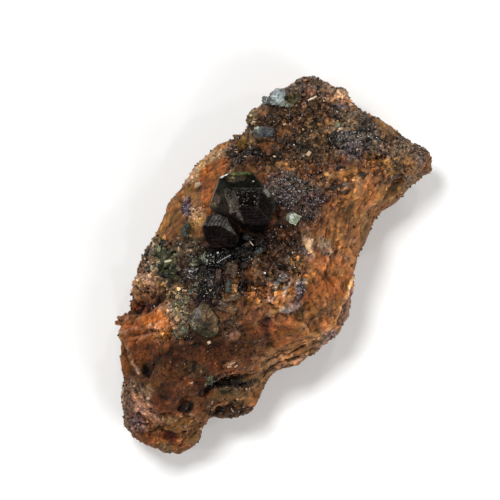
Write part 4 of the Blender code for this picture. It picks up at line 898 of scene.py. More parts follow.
def closeSockets(places):  # moves the places near a crystal to it, and gives how far each one went
    tree = BVHTree.FromPolygons(*joinedCrystals())
    pulled = np.zeros(len(places))
    for index, place in enumerate(places):
        if place[2] < rock["lowestSocket"]:
            continue
        nearest, normal, _, distance = tree.find_nearest(Vector(place), rock["pullIn"])
        if nearest is None:
            continue
        inward = nearest - normal * rock["pastTheFace"]
        share = min(1.0, 2.2 * (1 - distance / rock["pullIn"]))
        places[index] = np.array(Vector(place).lerp(inward, share))
        pulled[index] = share
    return pulled


def joinedCrystals():  # the points and faces of all nodes but the rock
    points, faces = [], []
    for name, item in frame["nodes"].items():
        if name == "matrix":
            continue
        copy = cleanCopy(item.data)
        start = len(points)
        points += [vert.co / mm for vert in copy.vertices]
        faces += [[start + corner for corner in face.vertices] for face in copy.polygons]
        bpy.data.meshes.remove(copy)
    return points, faces


def grooveRelief(points):  # the depth of the fine grooves and how strongly they streak the colour
    total = np.zeros(len(points))
    streak = np.zeros(len(points))
    for x, y, halfLength, halfWidth, turn, run, spacing, depth in grooves:
        share = areaShare(points, x, y, halfLength, halfWidth, turn, 0.4)
        along = points[:, 0] * cos(radians(run)) + points[:, 1] * sin(radians(run))
        lines = np.stack([acrossLines(points, run), along * 0.08, points[:, 2] * 0.25], axis=1)
        line = layeredNoise(lines, spacing, 31, 2)
        total += share * depth * line
        streak += share * line
    return total, streak


def paintRock(points, normals):  # colours, what covers them, and how deep the creases are
    size, far = rock["wander"]
    drifted = points.copy()
    drifted[:, :2] += far * np.stack([layeredNoise(points, size, seed, 3) for seed in (3, 5)], axis=1)
    fine = layeredNoise(points, rock["patchGrain"], 11, 2)
    broadSize, middleSize = rock["sideSizes"]
    broad = layeredNoise(points, broadSize, 13, 3)
    middle = layeredNoise(points, middleSize, 14, 3)
    side = [np.array(tones[tone]) for tone in rock["sideTones"]]
    blend = np.clip(0.5 + 0.9 * broad, 0, 1)[:, None]
    colours = side[0] * blend + side[1] * (1 - blend)
    layOver(colours, side[2], rock["sideDark"] * np.clip(0.1 + 1.2 * middle, 0, 1))
    cover = np.tile(np.array(plainCover), (len(points), 1))
    upward = np.clip((normals[:, 2] + 0.25) / 0.4, 0, 1) * np.clip((points[:, 2] - 5) / 3, 0, 1)
    for name, x, y, halfLength, halfWidth, turn, tone, strength in patches:
        share = areaShare(drifted, x, y, halfLength, halfWidth, turn)
        share = np.clip(share + 0.5 * fine * (share * (1 - share) * 4), 0, 1) * strength * upward
        layOver(colours, tones[tone], share)
        layOver(cover, covers.get(tone, plainCover), share)
    dent = np.zeros(len(points))
    gaps = np.clip(0.75 + 0.8 * layeredNoise(points, rock["creaseGap"], 63, 2), 0, 1)
    # dents with dark tones, partly painted shade, and ridges with pale tones, partly painted highlight
    for name, width, depth, tone, strength, route in creases:
        share = creaseShare(drifted, route, width) * upward * gaps
        dent += share * depth * (1 + 0.4 * fine)
        layOver(colours, tones[tone], np.clip(share * strength * (1 + 0.5 * fine), 0, 1))
    # painted shade and painted light, together with stains, multiply the colours
    for name, x, y, halfLength, halfWidth, turn, left in shadeLightAndStains:
        share = areaShare(drifted, x, y, halfLength, halfWidth, turn, 0.55) * upward
        colours *= 1 + (np.array(left) - 1) * share[:, None]
    size, strength = rock["mottle"]
    mottle = np.clip(1 + strength * layeredNoise(points, size, 61, 3), 0.4, 1.8)
    return colours * mottle[:, None], cover, dent


def rockRelief(points, normals, crust, grooveDepth, dent):  # how far each point of the skin moves out
    size, height = rock["chip"]
    _, _, offset, value = cellNoise(points, size, 21)
    chips = np.sum(offset * (value - 0.5), axis=1) * 2 * height
    size, height = rock["ridge"]
    broken = chips + height * (0.5 - 2 * np.abs(layeredNoise(points, size, 27, 2)))
    size, height = rock["brokenGrit"]
    broken += height * layeredNoise(points, size, 23, 2)
    size, height = rock["crustLump"]
    near, second, _, value = cellNoise(points, size, 41)
    lumps = (second - near - 0.3) * height + (value[:, 0] - 0.5) * 0.3
    size, height = rock["crustGrit"]
    lumps += height * layeredNoise(points, size, 43, 2)
    rough = np.zeros(len(points))
    for *area, height in roughAreas:
        rough = np.maximum(rough, height * areaShare(points, *area, 0.3))
    crumbly = 1.4 * np.clip(second - near, 0, 0.8) - 0.3 + 0.7 * layeredNoise(points, rock["crumblySize"], 45, 3)
    size, height = rock["swell"]
    relief = height * layeredNoise(points, size, 25, 2)
    relief += crust * lumps + (1 - crust) * (broken + rough * crumbly) + grooveDepth - dent
    for *area, far in swells:
        relief += far * areaShare(points, *area, 0.5) * np.clip(1.2 - np.abs(normals[:, 2]), 0, 1)
    return relief


def shadedAndSpecked(mesh, points, colours, crust, streak):  # painted shade in hollows and painted light on humps, then specks, streaks and warm and cold tints
    normals = normalsOf(mesh)
    hollow = hollowness(mesh, points, normals, 2)
    wideHollow = hollowness(mesh, points, normals, 12)
    # painted shade: darker by the depth of fine and wide hollows; painted light: lighter on humps
    fineShade, wideShade, darkest = rock["hollowShade"]
    shade = np.clip(1 - fineShade * np.maximum(hollow, 0) - wideShade * np.maximum(wideHollow, 0), darkest, 1)
    light, most = rock["humpLight"]
    shade *= 1 + np.clip(-light * np.minimum(hollow, 0), 0, most)
    value = cellNoise(points, rock["speck"], 51)[3]
    speck = 1 + (value[:, 0] - 0.5) * (0.25 + 0.85 * crust)
    speck *= np.clip(1 + 0.5 * streak * (1 - 0.7 * crust), 0.3, 1.8)
    over, pale = rock["paleSpeck"]
    under, dark = rock["darkSpeck"]
    speck *= np.where(value[:, 1] > over, pale, 1) * np.where(value[:, 1] < under, dark, 1)
    speck *= 1 - 0.35 * crust
    size, strength = rock["warmth"]
    warmth = strength * layeredNoise(points, size, 57, 2)
    size, strength = rock["purple"]
    purple = strength * layeredNoise(points, size, 58, 2)
    warm = np.stack([1 + 0.25 * warmth + 0.06 * purple, 1 - 0.16 * purple, 1 - 0.5 * warmth + 0.1 * purple], axis=1)
    return colours * (shade * speck)[:, None] * warm


def storeShares(mesh, points, crust, cover, pulled):  # what may grow where
    anywhere, onDruse = rock["glints"]
    glints = anywhere + onDruse * cover[:, 1]
    for area in glintAreas:
        glints = np.maximum(glints, areaShare(points, *area, 0.4))
    for area in mattAreas:
        glints *= 1 - areaShare(points, *area, 0.3)
    storeValue(mesh, "glintShare", crust * glints * (1 - pulled) * (cover[:, 4] > 0.6))
    storeValue(mesh, "dull", 1 - crust)
    clear = (1 - 0.6 * pulled) * np.clip(points[:, 2] / rock["flatFoot"] - 0.4, 0, 1)  # bare flat face
    for column, name in enumerate(("grainShare", "druseShare", "crumbShare", "leafShare", "speckled")):
        storeValue(mesh, name, cover[:, column] * clear)


def makeRock():
    mesh = remeshed(cleanCopy(frame["nodes"]["matrix"].data), rock["grid"], rock["smoothing"])
    points = placesOf(mesh)
    pulled = closeSockets(points)
    setPlaces(mesh, points)
    normals = normalsOf(mesh)
    colours, cover, dent = paintRock(points, normals)
    crust = np.zeros(len(points))
    for area in crustAreas:
        crust = np.maximum(crust, areaShare(points, *area, 0.25))
    crust *= np.clip((normals[:, 2] + 0.2) / 0.3, 0, 1) * np.clip((points[:, 2] - rock["crustFrom"]) / 2, 0, 1)
    grooveDepth, streak = grooveRelief(points)
    relief = rockRelief(points, normals, crust, grooveDepth, dent)
    relief *= 1 - 0.85 * pulled
    relief *= np.clip(points[:, 2] / rock["flatFoot"], 0, 1)
    points = points + normals * relief[:, None]
    points[:, 2] = np.maximum(points[:, 2], 0)
    setPlaces(mesh, points)
    storeTint(mesh, shadedAndSpecked(mesh, points, colours, crust, streak))
    storeShares(mesh, points, crust, cover, pulled)
    return mesh


rockMesh = makeRock()
print("rock surface shaped")
rockPiece = finishPiece("rockSurface", rockMesh, stones["rustySkarn"], ["matrix"])


# grains, druse, crumbs and leaves, all scattered by one node tree
def makeScatterTree():
    tree = bpy.data.node_groups.new("scatterOnRock", "GeometryNodeTree")
    tree.is_modifier = True
    inputs = (
        ("Surface", "NodeSocketGeometry"), ("Shapes", "NodeSocketCollection"), ("Where", "NodeSocketString"),
        ("Spacing", "NodeSocketFloat"), ("Most", "NodeSocketFloat"), ("Smallest", "NodeSocketVector"),
        ("Largest", "NodeSocketVector"), ("Turn", "NodeSocketVector"), ("Sink", "NodeSocketFloat"),
        ("Seed", "NodeSocketInt"), ("Finish", "NodeSocketMaterial"),
    )
    for name, kind in inputs:
        tree.interface.new_socket(name, in_out="INPUT", socket_type=kind)
    tree.interface.new_socket("Pieces", in_out="OUTPUT", socket_type="NodeSocketGeometry")
    start = tree.nodes.new("NodeGroupInput").outputs
    where = addNode(tree, "GeometryNodeInputNamedAttribute", {"Name": start["Where"]}, data_type="FLOAT")
    spots = addNode(tree, "GeometryNodeDistributePointsOnFaces", {
        "Mesh": start["Surface"], "Distance Min": start["Spacing"], "Density Max": start["Most"],
        "Density Factor": where.outputs["Attribute"], "Seed": start["Seed"],
    }, distribute_method="POISSON").outputs
    down = scaleNode(tree, spots["Normal"], start["Sink"])
    sunk = addNode(tree, "GeometryNodeSetPosition", {"Geometry": spots["Points"], "Offset": down})
    size = addNode(tree, "FunctionNodeRandomValue", {
        "Min": start["Smallest"], "Max": start["Largest"], "Seed": start["Seed"],
    }, data_type="FLOAT_VECTOR")
    turn = addNode(tree, "FunctionNodeRandomValue", {
        "Min": scaleNode(tree, start["Turn"], -1), "Max": start["Turn"],
    }, data_type="FLOAT_VECTOR")
    spin = addNode(tree, "FunctionNodeRotateRotation", {
        "Rotation": spots["Rotation"], "Rotate By": turn.outputs["Value"],
    }, rotation_space="LOCAL")
    shapes = addNode(tree, "GeometryNodeCollectionInfo", {
        "Collection": start["Shapes"], "Separate Children": True, "Reset Children": True,
    })
    copies = addNode(tree, "GeometryNodeInstanceOnPoints", {
        "Points": sunk.outputs["Geometry"], "Instance": shapes.outputs["Instances"], "Pick Instance": True,
        "Rotation": spin.outputs["Rotation"], "Scale": size.outputs["Value"],
    })
    tone = addNode(tree, "FunctionNodeRandomValue", {"Seed": start["Seed"]}, data_type="FLOAT")
    store = addNode(tree, "GeometryNodeStoreNamedAttribute", {
        "Geometry": copies.outputs["Instances"], "Name": "tone", "Value": tone.outputs["Value"],
    }, data_type="FLOAT", domain="INSTANCE")
    real = addNode(tree, "GeometryNodeRealizeInstances", {"Geometry": store.outputs["Geometry"]})
    finish = addNode(tree, "GeometryNodeSetMaterial", {
        "Geometry": real.outputs["Geometry"], "Material": start["Finish"],
    })
    addNode(tree, "NodeGroupOutput", {"Pieces": finish.outputs["Geometry"]})
    return tree


scatterTree = makeScatterTree()


def shapeCollection(name, meshes):
    collection = bpy.data.collections.new(name)
    for mesh in meshes:
        collection.objects.link(bpy.data.objects.new(mesh.name, mesh))
    return collection


def makeShard(name, seed, corners, stretch):  # a broken grain, one unit across: the hull of a few points
    rng = np.random.default_rng(seed)
    points = rng.normal(size=(corners, 3))
    points /= np.linalg.norm(points, axis=1)[:, None] * 2
    bm = bmesh.new()
    verts = [bm.verts.new(point * np.array(stretch)) for point in points]
    hull = bmesh.ops.convex_hull(bm, input=verts)
    spare = [piece for piece in hull["geom_interior"] if isinstance(piece, bmesh.types.BMVert)]
    bmesh.ops.delete(bm, geom=spare, context="VERTS")
    bmesh.ops.recalc_face_normals(bm, faces=bm.faces)
    return meshFrom(bm, name)


def makeBlock(name, seed, slope):  # a stubby crystal: a square prism with sloping shoulders
    rng = np.random.default_rng(seed)
    bm = bmesh.new()
    bmesh.ops.create_cube(bm, size=1)
    for vert in bm.verts:
        vert.co += Vector(rng.uniform(-0.07, 0.07, 3))
    bmesh.ops.bevel(bm, geom=bm.edges[:], offset=slope, segments=1, affect="EDGES", profile=0.5)
    return meshFrom(bm, name)


def makeLeaf(name, seed):  # a rounded, slightly dished leaf
    rng = np.random.default_rng(seed)
    bm = bmesh.new()
    bmesh.ops.create_icosphere(bm, subdivisions=2, radius=0.5)
    for vert in bm.verts:
        x, y, z = vert.co
        push = 1 + 0.12 * sin(3 * x * 7 + seed) + rng.uniform(-0.05, 0.05)
        vert.co = Vector((x * push, y * push * 0.85, z * 0.42 + 0.5 * (x * x + y * y) * 0.4))
    return meshFrom(bm, name)


anyWay = (3.14, 3.14, 3.14)  # turned by up to half a turn each way about each axis

# spacing, sizes and sink in millimetres; Most is how many there may be on a square millimetre
scatters = {
    "crustGrains": {
        "Where": "grainShare", "Spacing": 0.23, "Most": 16, "Smallest": (0.20, 0.20, 0.20),
        "Largest": (0.52, 0.48, 0.44), "Turn": anyWay, "Sink": -0.05, "Seed": 4,
        "finish": "garnetGrain", "slot": "rusty_matrix",
        "shapes": [makeShard(f"grain{seed}", seed, 11, (1, 1, 1)) for seed in range(4)]
        + [makeBlock(f"block{seed}", seed, 0.16) for seed in range(2)],
    },
    "druseGrains": {
        "Where": "druseShare", "Spacing": 0.18, "Most": 30, "Smallest": (0.18, 0.18, 0.16),
        "Largest": (0.38, 0.34, 0.32), "Turn": anyWay, "Sink": 0.0, "Seed": 9,
        "finish": "darkDruse", "slot": "black_vesuvianite",
        "shapes": [makeShard(f"druse{seed}", seed + 20, 8, (1, 1, 0.8)) for seed in range(4)],
    },
    # grains whose pale colour partly paints glints
    "glintGrains": {
        "Where": "glintShare", "Spacing": 0.18, "Most": 14, "Smallest": (0.08, 0.08, 0.06),
        "Largest": (0.34, 0.24, 0.20), "Turn": anyWay, "Sink": -0.07, "Seed": 31,
        "finish": "glint", "slot": "black_vesuvianite",
        "shapes": [makeShard(f"glint{seed}", seed + 80, 6, (1, 0.9, 0.6)) for seed in range(3)],
    },
    "rustCrumbs": {
        "Where": "crumbShare", "Spacing": 0.24, "Most": 11, "Smallest": (0.10, 0.10, 0.08),
        "Largest": (0.34, 0.30, 0.26), "Turn": anyWay, "Sink": 0.05, "Seed": 17,
        "finish": "rustCrumb", "slot": "rusty_matrix",
        "shapes": [makeShard(f"crumb{seed}", seed + 40, 7, (1, 1, 0.8)) for seed in range(4)],
    },
    "greenLeaves": {
        "Where": "leafShare", "Spacing": 0.32, "Most": 10, "Smallest": (0.45, 0.45, 0.45),
        "Largest": (1.30, 1.15, 1.0), "Turn": (1.2, 1.2, 3.14), "Sink": 0.0, "Seed": 23,
        "finish": "greenClinochlore", "slot": "green_clinochlore", "replaces": ["clinochlore_bank"],
        "shapes": [makeLeaf(f"leaf{seed}", seed + 60) for seed in range(3)],
    },
}


def scatter(name, surface, settings):
    shapes = shapeCollection(name + "Shapes", settings["shapes"])
    values = {**settings, "Shapes": shapes, "Finish": stones[settings["finish"]]}
    values["Spacing"] = settings["Spacing"] * mm
    values["Most"] = settings["Most"] / mm ** 2
    values["Sink"] = -settings["Sink"] * mm
    for limit in ("Smallest", "Largest"):
        values[limit] = [size * mm for size in settings[limit]]
    carrier = bpy.data.objects.new(name + "Carrier", surface)
    sceneCollection.objects.link(carrier)
    spread = carrier.modifiers.new("scatter", "NODES")
    spread.node_group = scatterTree
    for socket in scatterTree.interface.items_tree:
        if socket.in_out == "INPUT" and socket.name in values:
            spread[socket.identifier] = values[socket.name]
    mesh = applied(carrier)
    bpy.data.objects.remove(carrier)
    for item in list(shapes.objects):
        bpy.data.objects.remove(item)
    bpy.data.collections.remove(shapes)
    return finishPiece(name, mesh, stones[settings["finish"]], settings.get("replaces", ()), False)


for scatterName, scatterSettings in scatters.items():
    scatter(scatterName, rockMesh, scatterSettings)


# the crystals
# rough: size and height of the unevenness; nick: width and depth of the wear along the edges, then the tone of the
# worn edges, which is partly painted highlight along them
# pits: x, y, half length, half width, turn, size, depth; sparks: the area where painted glints lie on the facets
# faces: azimuth and tilt of a face, its tone, and how dull it is; the tones are partly the crystal's own colour and
# partly painted light and reflection, lighter or darker face by face
# patches: x, y, half length, half width, turn, tone; stain: the height that it reaches up to, tone
# lines: x, y, half length, half width, turn of the area, turn of the lines, spacing, depth, contrast
crystals = {
    "vesuvianitePair": {
        "node": "vesuvianite_pair", "grid": 0.12, "finish": "blackVesuvianite", "slot": "black_vesuvianite",
        "tone": (0.007, 0.005, 0.004), "rough": (0.8, 0.03), "nick": (0.32, 0.18), "wornEdgeLight": (0.030, 0.024, 0.018),
        "faces": [
            (265, 5, (0.003, 0.002, 0.0015), 0.3), (90, 42, (0.004, 0.004, 0.002), 0.2),
            (349, 40, (0.006, 0.004, 0.003), 0.7), (270, 44, (0.0035, 0.0025, 0.0015), 0.6),
            (208, 30, (0.042, 0.035, 0.028), 1.0), (165, 52, (0.006, 0.006, 0.003), 0.6),
            (202, 52, (0.013, 0.009, 0.005), 0.9), (270, 68, (0.0035, 0.0024, 0.002), 0.6),
            (95, 35, (0.034, 0.031, 0.028), 0.7), (15, 30, (0.042, 0.040, 0.036), 0.7),
            (25, 58, (0.006, 0.003, 0.002), 0.4), (265, 40, (0.007, 0.0042, 0.0040), 0.5),
        ],
        "pits": (-4.0, 9.8, 2.3, 1.6, 0, 0.30, 0.04), "sparks": (-3.9, 9.8, 2.5, 1.8, 0),
        "lines": [
            (-8.4, 6.5, 1.7, 1.2, 0, 63, 0.48, 0.06, 0.8), (-2.5, 7.1, 2.8, 1.3, 0, 2, 0.45, 0.05, 0.6),
            (-7.6, 3.4, 2.8, 1.5, 0, 6, 0.55, 0.04, 0.4), (-6.0, 8.8, 0.9, 2.4, 28, 118, 0.45, 0.025, 0.3),
        ],
        "patches": [
            (-5.3, 13.6, 2.2, 0.30, 0, (0.060, 0.068, 0.020)), (-6.0, 12.8, 0.8, 0.5, 0, (0.050, 0.036, 0.020)),
            (-4.6, 12.9, 0.6, 0.35, 0, (0.045, 0.034, 0.018)), (-7.3, 13.35, 0.85, 0.20, 25, (0.80, 0.78, 0.68)),
            (-9.0, 10.4, 0.20, 2.0, -22, (0.150, 0.140, 0.062)), (-8.3, 9.7, 0.45, 0.6, 0, (0.100, 0.064, 0.046)),
            (-8.9, 8.9, 0.6, 0.35, -40, (0.070, 0.052, 0.022)), (-7.6, 10.6, 0.5, 0.5, 0, (0.022, 0.017, 0.008)),
            (-0.8, 10.9, 0.5, 0.7, 20, (0.110, 0.108, 0.090)), (0.2, 9.0, 0.3, 1.4, 10, (0.016, 0.020, 0.016)),
            # the thin strip at -3.6, 11.35 along the top edge of the front face is a painted highlight
            (-3.0, 12.4, 0.14, 0.08, 0, (0.30, 0.28, 0.24)), (-3.6, 11.35, 2.7, 0.10, 0, (0.030, 0.026, 0.024)),
            (-5.0, 7.3, 0.30, 1.2, 25, (0.046, 0.038, 0.030)),
        ],
        "stain": (24.0, (0.070, 0.038, 0.018)),
    },
    "coatedCrystal": {
        "node": "vesuvianite_coated", "grid": 0.12, "finish": "coatedVesuvianite", "slot": "coated_vesuvianite",
        "tone": (0.036, 0.027, 0.014), "rough": (0.9, 0.2), "nick": (0.5, 0.34), "wornEdgeLight": (0.10, 0.078, 0.048),
        "faces": [
            (175, 32, (0.054, 0.041, 0.028), 0.6), (8, 34, (0.125, 0.078, 0.040), 0.6),
            (268, 44, (0.034, 0.026, 0.013), 0.6), (92, 35, (0.060, 0.041, 0.022), 0.6),
        ],
        "lines": [],
        "patches": [
            (-11.6, -6.7, 0.8, 1.2, 10, (0.14, 0.12, 0.105)), (-12.3, -9.0, 0.8, 0.6, 0, (0.12, 0.10, 0.07)),
            (-10.1, -9.0, 0.6, 0.5, 0, (0.030, 0.024, 0.015)), (-9.2, -10.4, 1.6, 0.5, 0, (0.062, 0.050, 0.022)),
            (-12.0, -11.0, 0.5, 0.6, 0, (0.016, 0.014, 0.010)),
        ],
        "stain": (21.5, (0.060, 0.034, 0.018)),
    },
    "upperCrystal": {
        "node": "vesuvianite_upper", "grid": 0.10, "finish": "greyVesuvianite", "slot": "grey_vesuvianite",
        "tone": (0.024, 0.018, 0.012), "rough": (0.6, 0.2), "nick": (0.45, 0.32), "wornEdgeLight": (0.05, 0.045, 0.038),
        "faces": [(100, 10, (0.019, 0.020, 0.023), 0.5), (270, 50, (0.06, 0.027, 0.010), 0.8)],
        "lines": [(-1.1, 19.6, 1.6, 1.0, 0, 5, 0.4, 0.04, 0.4)],
        "patches": [
            (-2.3, 20.3, 0.5, 0.6, 0, (0.085, 0.105, 0.085)), (-2.4, 20.5, 0.28, 0.2, 0, (0.34, 0.37, 0.31)),
        ],
        "stain": (17.6, (0.070, 0.038, 0.018)),
    },
    "topClinochlore": {
        "node": "clinochlore_top", "grid": 0.10, "finish": "paleClinochlore", "slot": "pale_clinochlore",
        "tone": (0.17, 0.20, 0.19), "rough": (0.55, 0.22), "nick": (0.5, 0.34), "wornEdgeLight": (0.55, 0.60, 0.56),
        "faces": [],
        "lines": [(0.4, 25.1, 2.5, 2.0, 0, -35, 0.7, 0.04, 0.2), (2.6, 24.1, 1.6, 1.0, 0, 0, 0.4, 0.08, 0.5)],
        "patches": [
            (-1.0, 24.6, 0.6, 0.5, 0, (0.16, 0.18, 0.15)), (2.7, 24.1, 1.2, 0.8, 0, (0.14, 0.13, 0.085)),
            # the pale patch at 0.7, 25.0 is a painted highlight
            (0.7, 25.0, 0.9, 0.5, -35, (0.36, 0.42, 0.40)), (1.2, 24.0, 0.6, 0.4, 0, (0.20, 0.22, 0.17)),
            (0.0, 24.0, 0.24, 0.24, 0, (0.95, 0.95, 0.92)), (-0.6, 25.3, 0.16, 0.9, 20, (0.08, 0.09, 0.08)),
            (0.9, 26.2, 0.9, 0.4, 20, (0.30, 0.32, 0.33)),
        ],
        "stain": (11.0, (0.10, 0.08, 0.05)),
    },
    "middleClinochlore": {
        "node": "clinochlore_middle", "grid": 0.07, "finish": "paleClinochlore", "slot": "pale_clinochlore",
        "drawnIn": 0.22,
        "tone": (0.42, 0.45, 0.34), "rough": (0.5, 0.07), "nick": (0.3, 0.1), "wornEdgeLight": (0.80, 0.84, 0.72),
        "faces": [], "lines": [(3.1, 6.9, 2, 2, 0, -60, 0.4, 0.14, 0.5)],
        "patches": [(3.4, 6.2, 0.5, 0.4, 0, (0.26, 0.31, 0.18)), (2.7, 7.3, 0.5, 0.3, -60, (0.9, 0.92, 0.84))],
        "stain": (23.6, (0.16, 0.15, 0.09)),
    },
}


# how all crystals are worn and stained; the pale worn edges are partly painted highlight
wear = {
    "sharp": radians(10),  # edges that bend by more than this are worn
    "edgeStep": 0.12,
    "sameFace": 0.994,  # cosine between a face and its row in faces
    "nickSize": 0.55,
    "wornLitWidth": 0.16, "wornLitMost": 0.6,
    "grainSize": 0.4,
    "stray": 0.12,  # how far the edges of the patches stray
    "stainFade": 1.2, "stainMost": 0.85,
}


def edgeTree(mesh):  # points along the sharp edges of a crystal
    bm = bmesh.new()
    bm.from_mesh(mesh)
    bm.normal_update()
    spots = []
    for edge in bm.edges:
        if len(edge.link_faces) == 2 and edge.calc_face_angle() > wear["sharp"]:
            first, last = (vert.co / mm for vert in edge.verts)
            steps = max(2, int((last - first).length / wear["edgeStep"]))
            spots += [first.lerp(last, step / steps) for step in range(steps + 1)]
    bm.free()
    tree = KDTree(len(spots))
    for index, spot in enumerate(spots):
        tree.insert(spot, index)
    tree.balance()
    return tree


def faceLook(mesh, points, settings):  # tone and dullness of the face that each point lies on
    faces = surfaceTree(mesh)
    sides = np.array([faces.find_nearest(Vector(point))[1] for point in points])
    colours = np.tile(np.array(settings["tone"]), (len(points), 1))
    dull = np.full(len(points), 0.5)
    for azimuth, tilt, tone, dullness in settings["faces"]:
        a, t = radians(azimuth), radians(tilt)
        here = sides @ np.array([sin(t) * cos(a), sin(t) * sin(a), cos(t)]) > wear["sameFace"]
        # each face gets its own tone, partly painted light and reflection
        colours[here] = tone
        dull[here] = dullness
    return colours, dull


def makeCrystal(name, settings):
    source = cleanCopy(frame["nodes"][settings["node"]].data)
    edges = edgeTree(source)
    mesh = remeshed(source.copy(), settings["grid"], 0)
    points = placesOf(mesh)
    normals = normalsOf(mesh)
    colours, dull = faceLook(source, points, settings)
    away = np.array([edges.find(Vector(point))[2] for point in points])
    size, height = settings["rough"]
    relief = height * layeredNoise(points, size, 71, 3) - settings.get("drawnIn", 0)
    reach, depth = settings["nick"]
    value = cellNoise(points, wear["nickSize"], 77)[3]
    edge = np.clip(1 - away / reach, 0, 1)
    relief -= edge * depth * (0.25 + 1.2 * np.clip(value[:, 2] - 0.45, 0, 1))
    if "pits" in settings:
        x, y, halfLength, halfWidth, turn, size, depth = settings["pits"]
        share = areaShare(points, x, y, halfLength, halfWidth, turn, 0.12) * np.clip((normals[:, 2] - 0.8) * 8, 0, 1)
        near, _, _, value = cellNoise(points, size, 73)
        relief -= share * depth * (0.8 * np.clip(1 - near * 1.5, 0, 1) + 0.6 * value[:, 0])
    for x, y, halfLength, halfWidth, turn, run, spacing, depth, contrast in settings["lines"]:
        share = areaShare(points, x, y, halfLength, halfWidth, turn, 0.15)
        across = acrossLines(points, run)
        line = 0.5 * layeredNoise(np.stack([across, across * 0, across * 0], axis=1), spacing, 75, 2)
        line += 0.6 * np.sin(6.28 * across / spacing + 1.5 * layeredNoise(points, 3.0, 79, 2))
        relief += share * depth * line
        colours *= (1 + contrast * share * line)[:, None]
    setPlaces(mesh, points + normals * relief[:, None])
    drifted = points.copy()
    drifted[:, :2] += wear["stray"] * np.stack([layeredNoise(points, 0.7, seed, 2) for seed in (81, 83)], axis=1)
    # pale worn edges, partly painted highlight along the sharp edges
    wornEdgeLight = np.clip(1 - away / wear["wornLitWidth"], 0, 1) * np.clip(0.5 + 0.8 * layeredNoise(points, 0.6, 87, 2), 0, 1)
    layOver(colours, settings["wornEdgeLight"], wornEdgeLight * wear["wornLitMost"])
    for x, y, halfLength, halfWidth, turn, tone in settings["patches"]:
        layOver(colours, tone, areaShare(drifted, x, y, halfLength, halfWidth, turn, 0.35))
    height, tone = settings["stain"]
    low = (height - points[:, 2]) / wear["stainFade"] + 0.4 * layeredNoise(points, 0.9, 89, 3)
    share = np.clip(low, 0, wear["stainMost"])
    layOver(colours, tone, share)
    colours *= (0.6 + 0.8 * cellNoise(points, wear["grainSize"], 85)[3][:, 0])[:, None]
    colours *= np.clip(1 + 0.55 * layeredNoise(points, 1.1, 91, 3), 0.35, 2)[:, None]
    storeTint(mesh, colours)
    if "sparks" in settings:
        storeValue(mesh, "glintShare", areaShare(points, *settings["sparks"], 0.2))
    storeValue(mesh, "dull", np.clip(dull + share, 0, 1))
    return finishPiece(name, mesh, stones[settings["finish"]], [settings["node"]])


for crystalName, crystalSettings in crystals.items():
    makeCrystal(crystalName, crystalSettings)
print("crystals ready")


# small crystals and flecks on the crust
rockTree = surfaceTree(rockMesh)

# x, y, length, width, thickness, turn, pitch, height of its top over the rock, tone
stubbyCrystals = [
    (-6.2, -0.9, 2.6, 2.2, 1.6, 80, 14, 0.25, "stubBrown"), (-6.6, -3.1, 2.2, 0.9, 1.6, 84, -8, 0.3, "stubTeal"),
    (-5.7, -3.1, 2.2, 1.1, 1.6, 84, -8, 0.25, "stubOrange"), (-6.2, -4.7, 2.6, 1.5, 1.2, 8, 12, 0.25, "stubTan"),
    (-8.2, -2.3, 3.4, 1.2, 1.4, 84, 10, 0.1, "stubBrown"), (-9.4, -2.2, 2.4, 1.1, 1.2, 99, -8, 0.1, "stubDark"),
    (-10.5, -1.1, 2.0, 1.1, 1.2, 74, 12, 0.1, "stubDark"), (-7.8, -5.7, 2.4, 0.9, 0.9, -18, 16, 0.2, "stubGrey"),
    (-6.4, -6.3, 2.3, 1.0, 0.9, -30, 12, 0.2, "stubTan"), (-7.4, -6.6, 1.9, 0.7, 0.8, -24, 18, 0.2, "stubGrey"),
    (-13.7, -9.9, 2.0, 1.7, 1.3, 20, 16, 0.25, "stubOlive"), (-12.9, -10.9, 1.3, 1.1, 0.9, 60, 10, 0.1, "stubOlive"),
    (-13.0, -5.4, 1.7, 1.3, 1.0, 50, -12, 0.2, "stubOlive"), (-11.9, -4.0, 1.4, 1.0, 0.9, 15, 10, 0.2, "stubPale"),
    (3.3, 25.0, 1.6, 1.5, 1.2, 30, 10, 0.25, "darkOlive"), (9.4, 11.4, 1.7, 1.1, 1.0, 25, -12, 0.2, "nearBlack"),
    (-2.2, 1.9, 1.7, 0.9, 0.9, 40, 15, 0.25, "stubTeal"), (-12.9, 5.2, 1.8, 1.5, 1.0, 70, 15, 0.3, "stubTeal"),
    (-11.4, -2.8, 1.7, 0.9, 0.8, 80, 15, 0.3, "stubOlive"), (-9.9, 1.0, 1.4, 1.2, 0.9, 20, 10, 0.25, "stubPale"),
    (-9.3, 0.5, 1.1, 0.8, 0.8, 70, 20, 0.3, "greenDark"), (-14.6, -2.2, 1.3, 0.8, 0.7, 40, 20, 0.3, "darkOlive"),
    (-3.9, 3.0, 1.4, 0.7, 0.8, 30, 15, 0.3, "stubDark"),
    (13.2, 13.2, 1.4, 1.0, 0.8, 30, 10, 0.2, "nearBlack"), (11.0, 11.9, 1.2, 0.9, 0.8, -20, 14, 0.2, "greyDark"),
]
